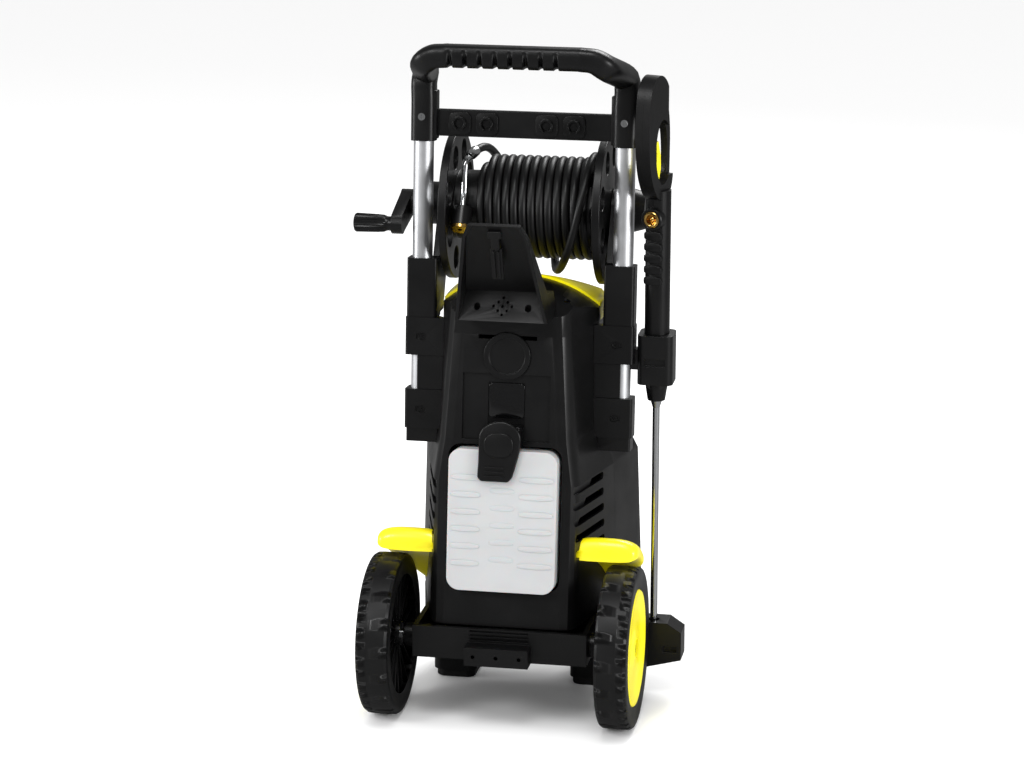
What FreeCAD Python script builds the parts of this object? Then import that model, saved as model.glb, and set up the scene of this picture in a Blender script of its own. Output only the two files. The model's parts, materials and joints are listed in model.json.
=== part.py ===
"""Pressure washer with hose reel, trigger gun and detergent tank.

Frame: origin on the floor under the middle of the machine, +Z up, -Y towards the
operator (wheels, tank and handle side), +X to the operator's right.  Millimetres.
Every driving size is one aliased cell of the sheet "Sizes", and features are bound to it.
"""
import FreeCAD, Part
import math
import os
import re
import Sketcher
from FreeCAD import Placement, Rotation, Vector

doc = FreeCAD.newDocument("PressureWasher")
sheet = doc.addObject("Spreadsheet::Sheet", "Sizes")
aliases = set()
nodes = []


# ---------------------------------------------------------------- the sheet and its helpers
def sizes(**values):
    """Write each value into its own cell, as text, under its alias."""
    for alias, number in values.items():
        row = len(aliases) + 1
        sheet.set(f"A{row}", alias)
        sheet.set(f"B{row}", str(number))
        sheet.setAlias(f"B{row}", alias)
        aliases.add(alias)
    doc.recompute()


def bound(text):
    """Turn the alias words of an expression into references to the sheet."""
    return re.sub(r"[a-z][a-z_]+", lambda w: f"Sizes.{w[0]}" if w[0] in aliases else w[0], str(text))


def value(text):
    """The number that an expression over the sheet stands for."""
    result = sheet.evalExpression(str(text))
    return float(getattr(result, "Value", result))


def put(item, x="0", y="0", z="0"):
    """Bind a feature's position to the sheet."""
    for axis, text in zip("xyz", (x, y, z)):
        item.setExpression(f"Placement.Base.{axis}", bound(text))
    return item


def node(label, item):
    """Give a finished sub-part the name that its file carries."""
    item.Label = label
    nodes.append(item)
    return item


# ---------------------------------------------------------------- primitives and booleans
AXES = {"X": Vector(1, 0, 0), "Y": Vector(0, 1, 0), "Z": Vector(0, 0, 1)}
UPRIGHT = {"X": Rotation(Vector(0, 1, 0), 90), "Y": Rotation(Vector(1, 0, 0), -90), "Z": Rotation()}
PLANES = {"X": ("YZ_Plane", 1), "Y": ("XZ_Plane", -1), "Z": ("XY_Plane", 1)}


def spot(axis, along, at):
    """Coordinates of a point given along an axis and, in X, Y, Z order, across it."""
    first, second = at
    return {"X": (along, first, second), "Y": (first, along, second), "Z": (first, second, along)}[axis]


def box(name, x, y, z):
    """Block between two values on each axis."""
    item = doc.addObject("Part::Box", name)
    for prop, (low, high) in zip(("Length", "Width", "Height"), (x, y, z)):
        item.setExpression(prop, bound(f"({high}) - ({low})"))
    return put(item, x[0], y[0], z[0])


def rod(name, axis, radius, span, at):
    """Cylinder along an axis."""
    item = doc.addObject("Part::Cylinder", name)
    item.Placement = Placement(Vector(), UPRIGHT[axis])
    item.setExpression("Radius", bound(radius))
    item.setExpression("Height", bound(f"({span[1]}) - ({span[0]})"))
    return put(item, *spot(axis, span[0], at))


def taper(name, axis, radii, span, at):
    """Cone along an axis."""
    item = doc.addObject("Part::Cone", name)
    item.Placement = Placement(Vector(), UPRIGHT[axis])
    item.setExpression("Radius1", bound(radii[0]))
    item.setExpression("Radius2", bound(radii[1]))
    item.setExpression("Height", bound(f"({span[1]}) - ({span[0]})"))
    return put(item, *spot(axis, span[0], at))


def fuse(name, *parts):
    item = doc.addObject("Part::MultiFuse", name)
    item.Shapes = list(parts)
    return item


def group(name, *parts):
    item = doc.addObject("Part::Compound", name)
    item.Links = list(parts)
    return item


def cut(name, base, *tools):
    item = doc.addObject("Part::Cut", name)
    item.Base = base
    item.Tool = tools[0] if len(tools) == 1 else fuse(f"{name}_tools", *tools)
    return item


def common(name, first, second):
    item = doc.addObject("Part::Common", name)
    item.Base = first
    item.Tool = second
    return item


def mirrored(name, source):
    """The same shape on the other side of the middle plane."""
    item = doc.addObject("Part::Mirroring", name)
    item.Source = source
    item.Normal = AXES["X"]
    return item


def rounded(name, source, radius, keep):
    """Round the straight edges that keep() picks."""
    doc.recompute()
    size = value(radius)
    item = doc.addObject("Part::Fillet", name)
    item.Base = source
    item.Edges = [(i + 1, size, size) for i, edge in enumerate(source.Shape.Edges) if keep(edge)]
    return item


def along(direction):
    """Picks straight edges that run along a direction."""
    def keep(edge):
        return isinstance(edge.Curve, Part.Line) and abs(edge.Curve.Direction.dot(direction)) > 0.999
    return keep


def outline(sketch, points):
    """Closed run of lines through points whose coordinates are bound to the sheet."""
    numbers = [Vector(value(u), value(v), 0) for u, v in points]
    lines = [Part.LineSegment(a, b) for a, b in zip(numbers, numbers[1:] + numbers[:1])]
    sketch.addGeometry(lines)
    for i, (u, v) in enumerate(points):
        sketch.addConstraint(Sketcher.Constraint("Coincident", i - 1 if i else len(points) - 1, 2, i, 1))
        for kind, text in (("DistanceX", u), ("DistanceY", v)):
            number = sketch.addConstraint(Sketcher.Constraint(kind, -1, 1, i, 1, value(text)))
            sketch.renameConstraint(number, f"{kind}{i}")
            sketch.setExpression(f"Constraints.{kind}{i}", bound(text))
    return sketch


def body_sketch(body, axis, points, offset="0"):
    """Sketch of a closed outline on one of the body's own planes, across an axis."""
    plane, sign = PLANES[axis]
    sketch = body.newObject("Sketcher::SketchObject", f"{body.Name}_outline")
    sketch.AttachmentSupport = [(part, "") for part in body.Origin.OriginFeatures if part.Role == plane]
    sketch.MapMode = "FlatFace"
    sketch.setExpression("AttachmentOffset.Base.z", bound(f"{sign} * ({offset})"))
    return outline(sketch, points)


def slab(name, axis, points, span):
    """Body padded along an axis from an outline across it."""
    body = doc.addObject("PartDesign::Body", name)
    sketch = body_sketch(body, axis, points, span[0])
    pad = body.newObject("PartDesign::Pad", f"{name}_pad")
    pad.Profile = sketch
    pad.Reversed = PLANES[axis][1] < 0
    pad.setExpression("Length", bound(f"({span[1]}) - ({span[0]})"))
    return body


def turned(name, axis, profile, at=("0", "0")):
    """Body revolved about an axis from (along, radius) points."""
    body = doc.addObject("PartDesign::Body", name)
    upright = axis == "Z"
    points = [(r, a) for a, r in profile] if upright else profile
    sketch = body_sketch(body, "X" if axis == "Y" else "Y", points)
    spin = body.newObject("PartDesign::Revolution", f"{name}_turn")
    spin.Profile = sketch
    spin.ReferenceAxis = (sketch, ["V_Axis" if upright else "H_Axis"])
    spin.Angle = 360
    return put(body, *spot(axis, "0", at))


def dressed(body, kind, radius, keep):
    """Fillet or chamfer the edges of a body that keep() picks."""
    doc.recompute()
    last = body.Tip
    dress = body.newObject(f"PartDesign::{kind}", f"{body.Name}_{kind.lower()}")
    dress.Base = (last, [f"Edge{i + 1}" for i, edge in enumerate(last.Shape.Edges) if keep(edge)])
    dress.setExpression("Radius" if kind == "Fillet" else "Size", bound(radius))
    body.Tip = dress
    return body


# ---------------------------------------------------------------- driving sizes
sizes(  # wheels and axle
    wheel_radius=100, wheel_width=40, wheel_inner=126, wheel_y=-88, tyre_depth=28, hub_recess=7,
    axle_radius=6, running_gap=0.05, touch_gap=0.3, washer_radius=11, washer_thick=2, hub_web=10)
sizes(  # base frame
    tray_half=108, tray_front_half=128, tray_rear=-123, tray_front=141, tray_low=84, tray_high=124,
    tray_wall=6, step_half=39.5, step_rear=-145, step_low=84, step_high=107, step_hole=2.5,
    leg_in=60, leg_out=116, leg_rear=36, leg_front=134, foot_thick=10, boss_radius=15, leg_round=12)
sizes(  # housing: outline half widths and depths at three heights
    base_level=124, hip_level=300, waist_level=352, crown_level=540, split_y=25, shell=3, rear_wall=8, corner_round=15,
    base_rear_half=87, base_seam_half=122, base_wide_half=142, base_wide_y=105, base_front_half=104,
    base_front_y=147, base_rear_y=-109, rear_slope=0.1286,
    hip_seam_half=117, hip_wide_half=136, hip_wide_y=103, hip_front_half=100, hip_front_y=141,
    waist_rear_half=80, waist_seam_half=101, waist_wide_half=112, waist_wide_y=95,
    waist_front_half=92, waist_front_y=135,
    crown_rear_half=68, crown_seam_half=96, crown_wide_half=95, crown_wide_y=73,
    crown_front_half=72, crown_front_y=108)
sizes(  # top cover and hood
    cover_low=480, cover_peak=533, cover_chord=98, cover_drop=36, cover_rear_z=503, cover_peak_y=33,
    cover_front_z=492, hood_rise=3, screw_head=4.5)
sizes(  # rear face details
    pocket_half=70.5, pocket_low=169, pocket_high=346.5, pocket_depth=46, tank_half=67,
    tank_high=342.5, tank_face=14, tank_round=16, tank_gap=0.4, recess_deep=3, slot_half=36,
    slot_level=497, slot_high=5, cap_level=455, cap_radius=29, cap_inner=22, cap_proud=2.5,
    panel_half=54, panel_high=433, closure_half=22, closure_deep=5, closure_top=379, window_high=423,
    lever_low=304, lever_half=20, lever_thick=9, lever_shift=10, neck_radius_tank=8, tank_deep=35, tank_wall=2, mid_x=0)
sizes(  # vents round the rear corners
    vent_x=101, vent_y=-47, vent_long=84, vent_turn=76, vent_deep=14, vent_pitch=20, vent_high=9.5,
    vent_low=209, vent_round=4)
sizes(  # mast: two leaning tubes and what they carry, measured along the tubes from their feet
    mast_y=13, mast_z=322, mast_lean=5.16, tube_x=125.3, tube_radius=12.5, tube_wall=1.5, tube_top=440,
    plug_top=17, plug_floor=6, clamp_deep=17.5, clamp_out=17.5, low_clamp_top=66, high_clamp_foot=109,
    high_clamp_top=156, sleeve_top=229.5, sleeve_in=104, sleeve_deep=16, collar_foot=374,
    collar_radius=16.5, bar_foot=380, bar_high=33, bar_deep=10, clip_radius=11)
sizes(  # handle
    shoulder_x=127, shoulder_up=452, grip_x=97, grip_y=-27, grip_z=812, grip_radius=15)
sizes(  # reel and hose
    reel_y=95, reel_z=606, flange_radius=93, flange_in=90, flange_thick=10, flange_bulge=3,
    drum_radius=43, reel_axle=9, hose_radius=5.25, hose_outer=64, winding_low=-61.5, winding_high=86,
    boss_out=145, bracket_thick=8, reel_boss=26.5, crank_x=-150, crank_thick=14, crank_reach=58,
    crank_drop=16, knob_length=47.7, knob_radius=12.5, knob_pin=4, coupling_radius=12.5, coupling_x=-75)
sizes(  # gun, lance and their holders
    gun_x=168, gun_y=35, gun_yaw=18, gun_half=9.5, guard_half=4.5, gun_top=791, gun_waist=640, fore_low=467, fore_radius=15.5,
    neck_radius=13.8, cradle_low=405, cradle_half=22, cradle_bore=14.6, nut_low=382, nut_radius=13.4,
    lance_radius=4.5, lance_low=62, tip_high=26, tip_radius=6, foot_low=36, foot_high=96,
    foot_out=205, foot_bore=7.5, foot_rear=19, foot_front=55, inlet_z=612, inlet_radius=10,
    inlet_proud=21, trigger_half=5, trigger_back=15, trigger_up=26)
sizes(  # fenders, cord hook, motor and controls
    fender_gap=5, fender_deep=24, fender_in=78, fender_out=163, hook_low_z=508, hook_low_y=-108,
    hook_top_z=634, hook_top_y=-153, hook_low_half=56, hook_top_half=36, hook_wall=4,
    hook_shelf_y=-83, hook_shelf_z=538, motor_y=50, motor_radius=48, motor_low=215, motor_top=340,
    shaft_radius=6, fan_radius=42, fan_thick=14, pump_radius=38, pump_head_y=95, pump_head_half=50,
    port_x=30, port_z=165, port_radius=11, port_end=183, knob_z=418, dial_radius=21, dial_thick=18,
    switch_half=24, gland_x=-62, gland_z=165, gland_radius=9)


# ---------------------------------------------------------------- housing forms
def rear_y(level):
    """Depth of the flat, leaning rear face at a height."""
    return f"base_rear_y + rear_slope * ({level} - base_level)"


LEVELS = [
    ("base_level", "base_rear_half", "base_seam_half", "base_wide", "base_front"),
    ("hip_level", "base_rear_half", "hip_seam_half", "hip_wide", "hip_front"),
    ("waist_level", "waist_rear_half", "waist_seam_half", "waist_wide", "waist_front"),
    ("crown_level", "crown_rear_half", "crown_seam_half", "crown_wide", "crown_front"),
]


def housing_form(name, side, back):
    """Tapering form through the outlines, drawn in by a side wall and a rear wall."""
    sections = []
    for level, rear, seam, wide, front in LEVELS:
        corner = f"{rear} - {side}"
        flat = f"{rear_y(level)} + {back}"
        right = [(f"{corner} - corner_round", flat),
                 (f"{corner} - corner_round * 0.35", f"{flat} + corner_round * 0.12"),
                 (f"{corner} + corner_round * 0.03", f"{flat} + corner_round * 0.45"),
                 (f"{corner} + corner_round * 0.3", f"{flat} + corner_round * 1.1"), (f"{seam} - {side}", "split_y"),
                 (f"{wide}_half - {side}", f"{wide}_y"), (f"{front}_half - {side}", f"{front}_y - {side}")]
        left = [(f"-({u})", v) for u, v in reversed(right)]
        sketch = doc.addObject("Sketcher::SketchObject", f"{name}_{level}")
        outline(sketch, right + left)
        put(sketch, z=level)
        sections.append(sketch)
    loft = doc.addObject("Part::Loft", name)
    loft.Sections = sections
    loft.Solid = True
    loft.Ruled = True
    return loft


def cover_form(name, rise):
    """Arched roof: an arch across the machine met by a crest along it."""
    chord = value("cover_chord")
    drop = value("cover_drop")
    radius = (chord ** 2 + drop ** 2) / (2 * drop)
    arch = rod(f"{name}_arch", "Y", f"{radius} + {rise}", ("base_rear_y", "base_front_y"),
               ("0", f"cover_peak - {radius}"))
    crest = slab(f"{name}_crest", "X", [
        (rear_y("cover_low"), "cover_low"), ("base_front_y", "cover_low"),
        ("base_front_y",
         f"cover_front_z - 6 + {rise}"), ("crown_front_y - 20", f"cover_front_z + 12 + {rise}"),
        ("cover_peak_y", f"cover_peak + {rise}"), ("cover_peak_y - 38", f"cover_peak - 8 + {rise}"),
        (rear_y("cover_low"), f"cover_rear_z + {rise}")], ("-base_wide_half", "base_wide_half"))
    return common(name, arch, crest)


outer = housing_form("outer_form", "0", "0")
inner = housing_form("inner_form", "shell", "rear_wall")
roof = common("roof", outer, cover_form("roof_form", "0"))
WIDE = ("-base_wide_half - 5", "base_wide_half + 5")
rear_half = box("rear_half", WIDE, ("base_rear_y - 5", "split_y"), ("base_level", "cover_low"))
front_half = box("front_half", WIDE, ("split_y", "base_front_y + 5"), ("base_level", "cover_low"))
LEAN = value("atan(rear_slope)")
INWARD = Rotation(AXES["X"], -LEAN).multVec(AXES["Y"])


def on_rear_face(item, x, level, depth):
    """Lean a tool with the rear face and start it at a depth below the face."""
    item.Placement = Placement(Vector(), Rotation(AXES["X"], -LEAN) * item.Placement.Rotation)
    return put(item,
               x, f"{rear_y(level)} + ({depth}) * {INWARD.y:.6f}", f"{level} + ({depth}) * {INWARD.z:.6f}")


def rear_block(name, half, low, high, depth, x="mid_x"):
    """Block from outside the rear face down to a depth below it."""
    item = box(name, ("0", f"2 * ({half})"), ("0", "60"), ("0", f"({high} - ({low})) / {INWARD.y:.6f}"))
    return on_rear_face(item, f"{x} - ({half})", low, f"{depth} - 60")


def rear_disc(name, radius, level, depth, length, x="mid_x"):
    """Round tool across the rear face, from a depth outwards over a length."""
    return on_rear_face(rod(name, "Y", radius, ("0", length), ("0", "0")), x, level, f"{depth} - ({length})")


# ---------------------------------------------------------------- housing shells
def rear_housing():
    shell = cut("rear_shell", common("rear_outer", outer, rear_half), inner)
    walls = common("pocket_walls", outer, rear_block("pocket_box", "pocket_half + shell",
                                                     "pocket_low - shell",
                                                     "pocket_high + shell", "pocket_depth + shell"))
    pocket = rounded("pocket", rear_block("pocket_void", "pocket_half", "pocket_low", "pocket_high",
                                          "pocket_depth"), "tank_round", along(INWARD))
    upper = rear_block("upper_recess", "panel_half", "slot_level - 17", "cover_low + 1", "recess_deep")
    slot = rear_block("slot", "slot_half", "slot_level - 22", "slot_level - 22 + slot_high", "rear_wall + 2")
    seat = rear_disc("cap_seat", "cap_radius", "cap_level", "recess_deep", "30")
    panel = rear_block("panel_recess", "panel_half", "pocket_high + 6", "panel_high", "recess_deep")
    window = rear_block("window_recess", "closure_half + touch_gap + 0.5", "pocket_high - 6", "window_high",
                        "closure_deep + touch_gap")
    tools = [pocket, upper, slot, seat, panel, window]
    for side in (-1, 1):
        for i in range(5):
            vent = box(f"vent_{side}_{i}", ("0", "vent_long"), ("0", "vent_deep"), ("0", "vent_high"))
            vent = rounded(f"vent_round_{side}_{i}", vent, "vent_round", along(AXES["Y"]))
            vent = group(f"vent_at_{side}_{i}", vent)
            turn = Rotation(AXES["Z"], 90 + side * (value("vent_turn") - 90))
            vent.Placement = Placement(Vector(), turn)
            middle = turn.multVec(Vector(value("vent_long") / 2, value("vent_deep") / 2, 0))
            tools.append(put(vent, f"{side} * vent_x - ({middle.x:.5f})", f"vent_y - ({middle.y:.5f})",
                             f"vent_low + {i} * vent_pitch"))
    return node("rear_housing", cut("rear_cut", fuse("rear_fused", shell, walls), *tools))


def front_housing():
    shell = cut("front_shell", common("front_outer", outer, front_half), inner)
    holes = [
        rod("inlet_hole", "Y", "port_radius + touch_gap + 2", ("base_front_y - 20", "base_front_y + 5"),
            ("-port_x", "port_z")),
        rod("outlet_hole", "Y", "port_radius + touch_gap + 2", ("base_front_y - 20", "base_front_y + 5"),
            ("port_x", "port_z")),
        rod("gland_hole", "Y", "gland_radius - 2", ("base_front_y - 30", "base_front_y + 5"),
            ("gland_x", "gland_z")),
        rod("dial_hole", "Y", "shaft_radius + running_gap", ("base_front_y - 60", "base_front_y + 5"),
            ("0", "knob_z")),
    ]
    return node("front_housing", cut("front_cut", shell, *holes))


def covers():
    """Black cover over the rear half and yellow hood over the front half."""
    void = common("roof_void", inner, cover_form("roof_void_form", "-shell"))
    lid = box("lid_half", WIDE, ("base_rear_y - 5", "cover_peak_y"), ("cover_low", "crown_level"))
    cap = cut("lid_shell", common("lid_outer", roof, lid), void)
    screws = [rod(f"lid_pit_{side}", "Z", "screw_head", ("cover_low + 14", "crown_level"),
                  (f"{side} * 66", "-25")) for side in (-1, 1)]
    seat = rear_disc("cover_seat", "cap_radius", "cap_level", "recess_deep", "30")
    node("top_cover", cut("top_cover_cut", cap, seat, *screws))
    bonnet = box("hood_half", WIDE, ("cover_peak_y", "base_front_y + 5"), ("cover_low", "crown_level + 9"))
    high = common("hood_roof", outer, cover_form("hood_form", "hood_rise"))
    node("front_hood", cut("hood_shell", common("hood_outer", high, bonnet), void))


def fender(side, sign):
    """Mudguard over a wheel, fixed to the flank of the housing."""
    reach = "wheel_radius + fender_gap"
    across = ("fender_in", "fender_out")
    at = ("wheel_y", "wheel_radius")
    rim = cut(f"fender_arc_{side}", rod(f"fender_skin_{side}", "X", f"{reach} + fender_deep", across, at),
              rod(f"fender_bore_{side}", "X", reach, across, at))
    keep = slab(f"fender_keep_{side}", "X", [
        ("wheel_y + 10", "wheel_radius + 98"), ("wheel_y + 8", "wheel_radius + 111"),
        ("wheel_y + 26", "wheel_radius + 121"), ("wheel_y + 50", "wheel_radius + 123"),
        ("wheel_y + 80", "wheel_radius + 114"), ("wheel_y + 104", "wheel_radius + 88"),
        ("wheel_y + 117", "wheel_radius + 52"), ("wheel_y + 112", "wheel_radius + 30"),
        ("wheel_y + 95", "wheel_radius + 29"), ("wheel_y + 40", "wheel_radius + 70")], across)
    dome = slab(f"fender_dome_{side}", "Y", [
        ("fender_in", "wheel_radius + 27"), ("fender_in + 24", "wheel_radius + 27"),
        ("fender_in + 36", "wheel_radius + 66"), ("fender_out - 4", "wheel_radius + 72"),
        ("fender_out", "wheel_radius + 104"), ("fender_out - 16", "wheel_radius + 116"),
        ("fender_out - 36", "wheel_radius + 124"), ("fender_in + 24", "wheel_radius + 124"),
        ("fender_in", "wheel_radius + 113")], ("wheel_y", "wheel_y + 125"))
    guard = cut(f"fender_trim_{side}", common(f"fender_shape_{side}", common(f"fender_cap_{side}", rim, keep),
                                              dome), outer)
    if sign > 0:
        return node(f"fender_{side}", guard)
    return node(f"fender_{side}", mirrored(f"fender_flip_{side}", guard))


def base_frame():
    """Tray with axle bosses, legs and a rear step, open at the top."""
    plan = [("tray_half", "tray_rear"), ("tray_half", "20"), ("tray_front_half", "46"),
            ("tray_front_half", "tray_front - 20"), ("tray_front_half - 24", "tray_front")]
    plan += [(f"-({u})", v) for u, v in reversed(plan)]
    tray = slab("tray", "Z", plan, ("tray_low", "tray_high"))
    hollow = box("tray_hollow", ("-tray_half + tray_wall", "tray_half - tray_wall"),
                 ("tray_rear + tray_wall", "tray_front - tray_wall"), ("tray_low + tray_wall",
                                                                       "tray_high + 1"))
    step = box("step", ("-step_half", "step_half"), ("step_rear", "tray_rear + 1"), ("step_low", "step_high"))
    bosses = rod("axle_bosses", "X", "boss_radius", ("-wheel_inner + 3", "wheel_inner - 3"),
                 ("wheel_y", "wheel_radius"))
    legs = []
    for side in (-1, 1):
        x = ("leg_in", "leg_out") if side > 0 else ("-leg_out", "-leg_in")
        leg = box(f"leg_block_{side}", x, ("leg_rear", "leg_front"), ("foot_thick", "tray_low + 1"))
        legs.append(rounded(f"leg_{side}", leg, "leg_round", along(AXES["Z"])))
    bore = rod("axle_bore", "X", "axle_radius + running_gap", ("-wheel_inner - 1", "wheel_inner + 1"),
               ("wheel_y", "wheel_radius"))
    holes = [rod(f"step_hole_{i}", "Y", "step_hole", ("step_rear - 1", "step_rear + 12"),
                 (f"{i - 1} * step_half * 0.72", "(step_low + step_high) / 2")) for i in range(3)]
    slats = [box(f"slat_{i}", ("-step_half + 3", "step_half - 3"), ("tray_rear - 1", "tray_rear + 3"),
                 (f"step_high + {3 + 5 * i}", f"step_high + {5.5 + 5 * i}")) for i in range(3)]
    solid = fuse("frame_solid", cut("tray_shell", tray, hollow), step, bosses, *legs)
    return node("base_frame", cut("frame_cut", solid, bore, *holes, *slats))


def front_feet():
    pads = []
    for side in (-1, 1):
        x = ("leg_in + 3", "leg_out - 3") if side > 0 else ("-leg_out + 3", "-leg_in - 3")
        pad = box(f"pad_block_{side}", x, ("leg_rear + 3", "leg_front - 3"), ("0", "foot_thick"))
        pads.append(rounded(f"pad_{side}", pad, "leg_round", along(AXES["Z"])))
    return node("front_feet", group("feet_group", *pads))


# ---------------------------------------------------------------- wheels
def wheel(side, sign):
    """Rubber tyre on a yellow hub; the hub's bore runs on the fixed axle."""
    near = "wheel_inner"
    far = "wheel_inner + wheel_width"
    at = ("wheel_y", "wheel_radius")
    seat = "wheel_radius - tyre_depth"
    lip = "wheel_radius - tyre_depth - 5"
    tyre = turned(f"tyre_body_{side}", "X", [
        (near, seat), (near, "wheel_radius - 5"), (f"{near} + 5", "wheel_radius"), (f"{far} - 5",
                                                                                    "wheel_radius"),
        (far, "wheel_radius - 5"), (far, seat)], at)
    hub = turned(f"hub_body_{side}", "X", [
        (near, "boss_radius"), (near, "axle_radius + running_gap"), (f"{far} - hub_recess",
                                                                     "axle_radius + running_gap"),
        (f"{far} - hub_recess", "16"), (f"{far} - hub_recess", "50"), (far, "62"), (far,
                                                                                    f"{seat} - touch_gap"),
        (near, f"{seat} - touch_gap"), (near, lip), (f"{far} - hub_recess - 6", lip),
        (f"{far} - hub_recess - hub_web", "boss_radius")], at)
    spokes = [box(f"spoke_{side}_{i}", ("0", "wheel_width - hub_recess - 8"), ("boss_radius - 1",
                                                                               f"{lip} + 1"),
                  ("-2", "2")) for i in range(10)]
    for i, spoke in enumerate(spokes):
        turn = Rotation(AXES["X"], 36 * i)
        spoke.Placement = Placement(Vector(), turn)
        base = turn.multVec(Vector(0, value("boss_radius") - 1, -2))
        spoke.setExpression("Placement.Base.x", bound("wheel_inner + 1"))
        spoke.setExpression("Placement.Base.y", bound(f"wheel_y + {base.y}"))
        spoke.setExpression("Placement.Base.z", bound(f"wheel_radius + {base.z}"))
    hub = fuse(f"hub_fused_{side}", hub, *spokes)
    if sign < 0:
        tyre = mirrored(f"tyre_flip_{side}", tyre)
        hub = mirrored(f"hub_flip_{side}", hub)
    node(f"tyre_{side}", tyre)
    return node(f"hub_{side}", hub)


def axle():
    end = "wheel_inner + wheel_width - hub_recess"
    at = ("wheel_y", "wheel_radius")
    node("wheel_axle", rod("axle_rod", "X", "axle_radius", (f"-({end}) - 4", f"{end} + 4"), at))
    caps = []
    for side in (-1, 1):
        span = (f"{end} + touch_gap", f"{end} + washer_thick")
        if side < 0:
            span = (f"-({end}) - washer_thick", f"-({end}) - touch_gap")
        disc = rod(f"washer_disc_{side}", "X", "washer_radius", span, at)
        hole = rod(f"washer_hole_{side}", "X", "axle_radius", span, at)
        caps.append(cut(f"washer_{side}", disc, hole))
    return node("axle_clips", group("axle_clip_group", *caps))


# ---------------------------------------------------------------- detergent tank and its closure
def detergent_tank():
    """Bottle that fills the pocket, with a hollow and a neck."""
    body = rounded("tank_body", rear_block("tank_block", "tank_half", "pocket_low + touch_gap",
                                           "tank_high", "tank_deep"),
                   "tank_round", along(INWARD))
    face = rear_block("tank_trim", "tank_half + 5", "pocket_low - 20", "tank_high + 20", "-tank_face")
    hollow = rear_block("tank_void", "tank_half - tank_wall", "pocket_low + touch_gap + tank_wall",
                        "tank_high - tank_wall",
                        "tank_deep - tank_wall")
    hollow = rounded("tank_void_round", hollow, "tank_round - tank_wall", along(INWARD))
    skin = rear_block("tank_skin", "tank_half + 5", "pocket_low - 20", "tank_high + 20",
                      "-tank_face + tank_wall")
    neck = rod("tank_neck", "Z", "neck_radius_tank", ("0", "16"), ("0", "0"))
    mouth = rod("tank_mouth", "Z", "neck_radius_tank - tank_wall", ("0", "30"), ("0", "0"))
    on_rear_face(neck, "mid_x", "tank_high", "0 - tank_face * 0.4")
    on_rear_face(mouth, "mid_x", "tank_high - tank_wall - 4", "0 - tank_face * 0.4")
    bottle = fuse("tank_solid", cut("tank_front", body, face), neck)
    node("detergent_tank", cut("tank_cut", bottle, cut("tank_hollow", hollow, skin), mouth))
    cap = rear_block("closure_block", "closure_half", "tank_high + tank_gap", "closure_top", "closure_deep")
    cap = cut("closure_trim", cap, rear_block("closure_face", "closure_half + 5", "pocket_low + touch_gap",
                                              "closure_top + 20",
                                              "-tank_face - lever_thick"))
    lever = rear_block("lever_block", "lever_half", "lever_low", "tank_high + 2", "-tank_face - tank_gap",
                       "mid_x - lever_shift")
    lever = cut("lever_trim", lever, rear_block("lever_face", "lever_half + 9", "lever_low - 9",
                                                "tank_high + 20", "-tank_face - lever_thick", "mid_x - lever_shift"))
    well = rod("closure_well", "Z", "neck_radius_tank + touch_gap", ("-1", "16 + touch_gap"), ("0", "0"))
    on_rear_face(well, "mid_x", "tank_high", "0 - tank_face * 0.4")
    cap_edges = rounded("closure_round", cap, "8", along(INWARD))
    return node("tank_closure", cut("closure_cut", fuse("closure_solid", cap_edges, lever), well))


def round_cap():
    """Blank round badge in its seat."""
    disc = rear_disc("badge_disc", "cap_radius - touch_gap", "cap_level", "recess_deep",
                     "recess_deep + cap_proud")
    dish = rear_disc("badge_dish", "cap_inner", "cap_level", "-cap_proud + 1.5", "10")
    return node("round_cap", cut("badge_cut", disc, dish))


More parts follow.
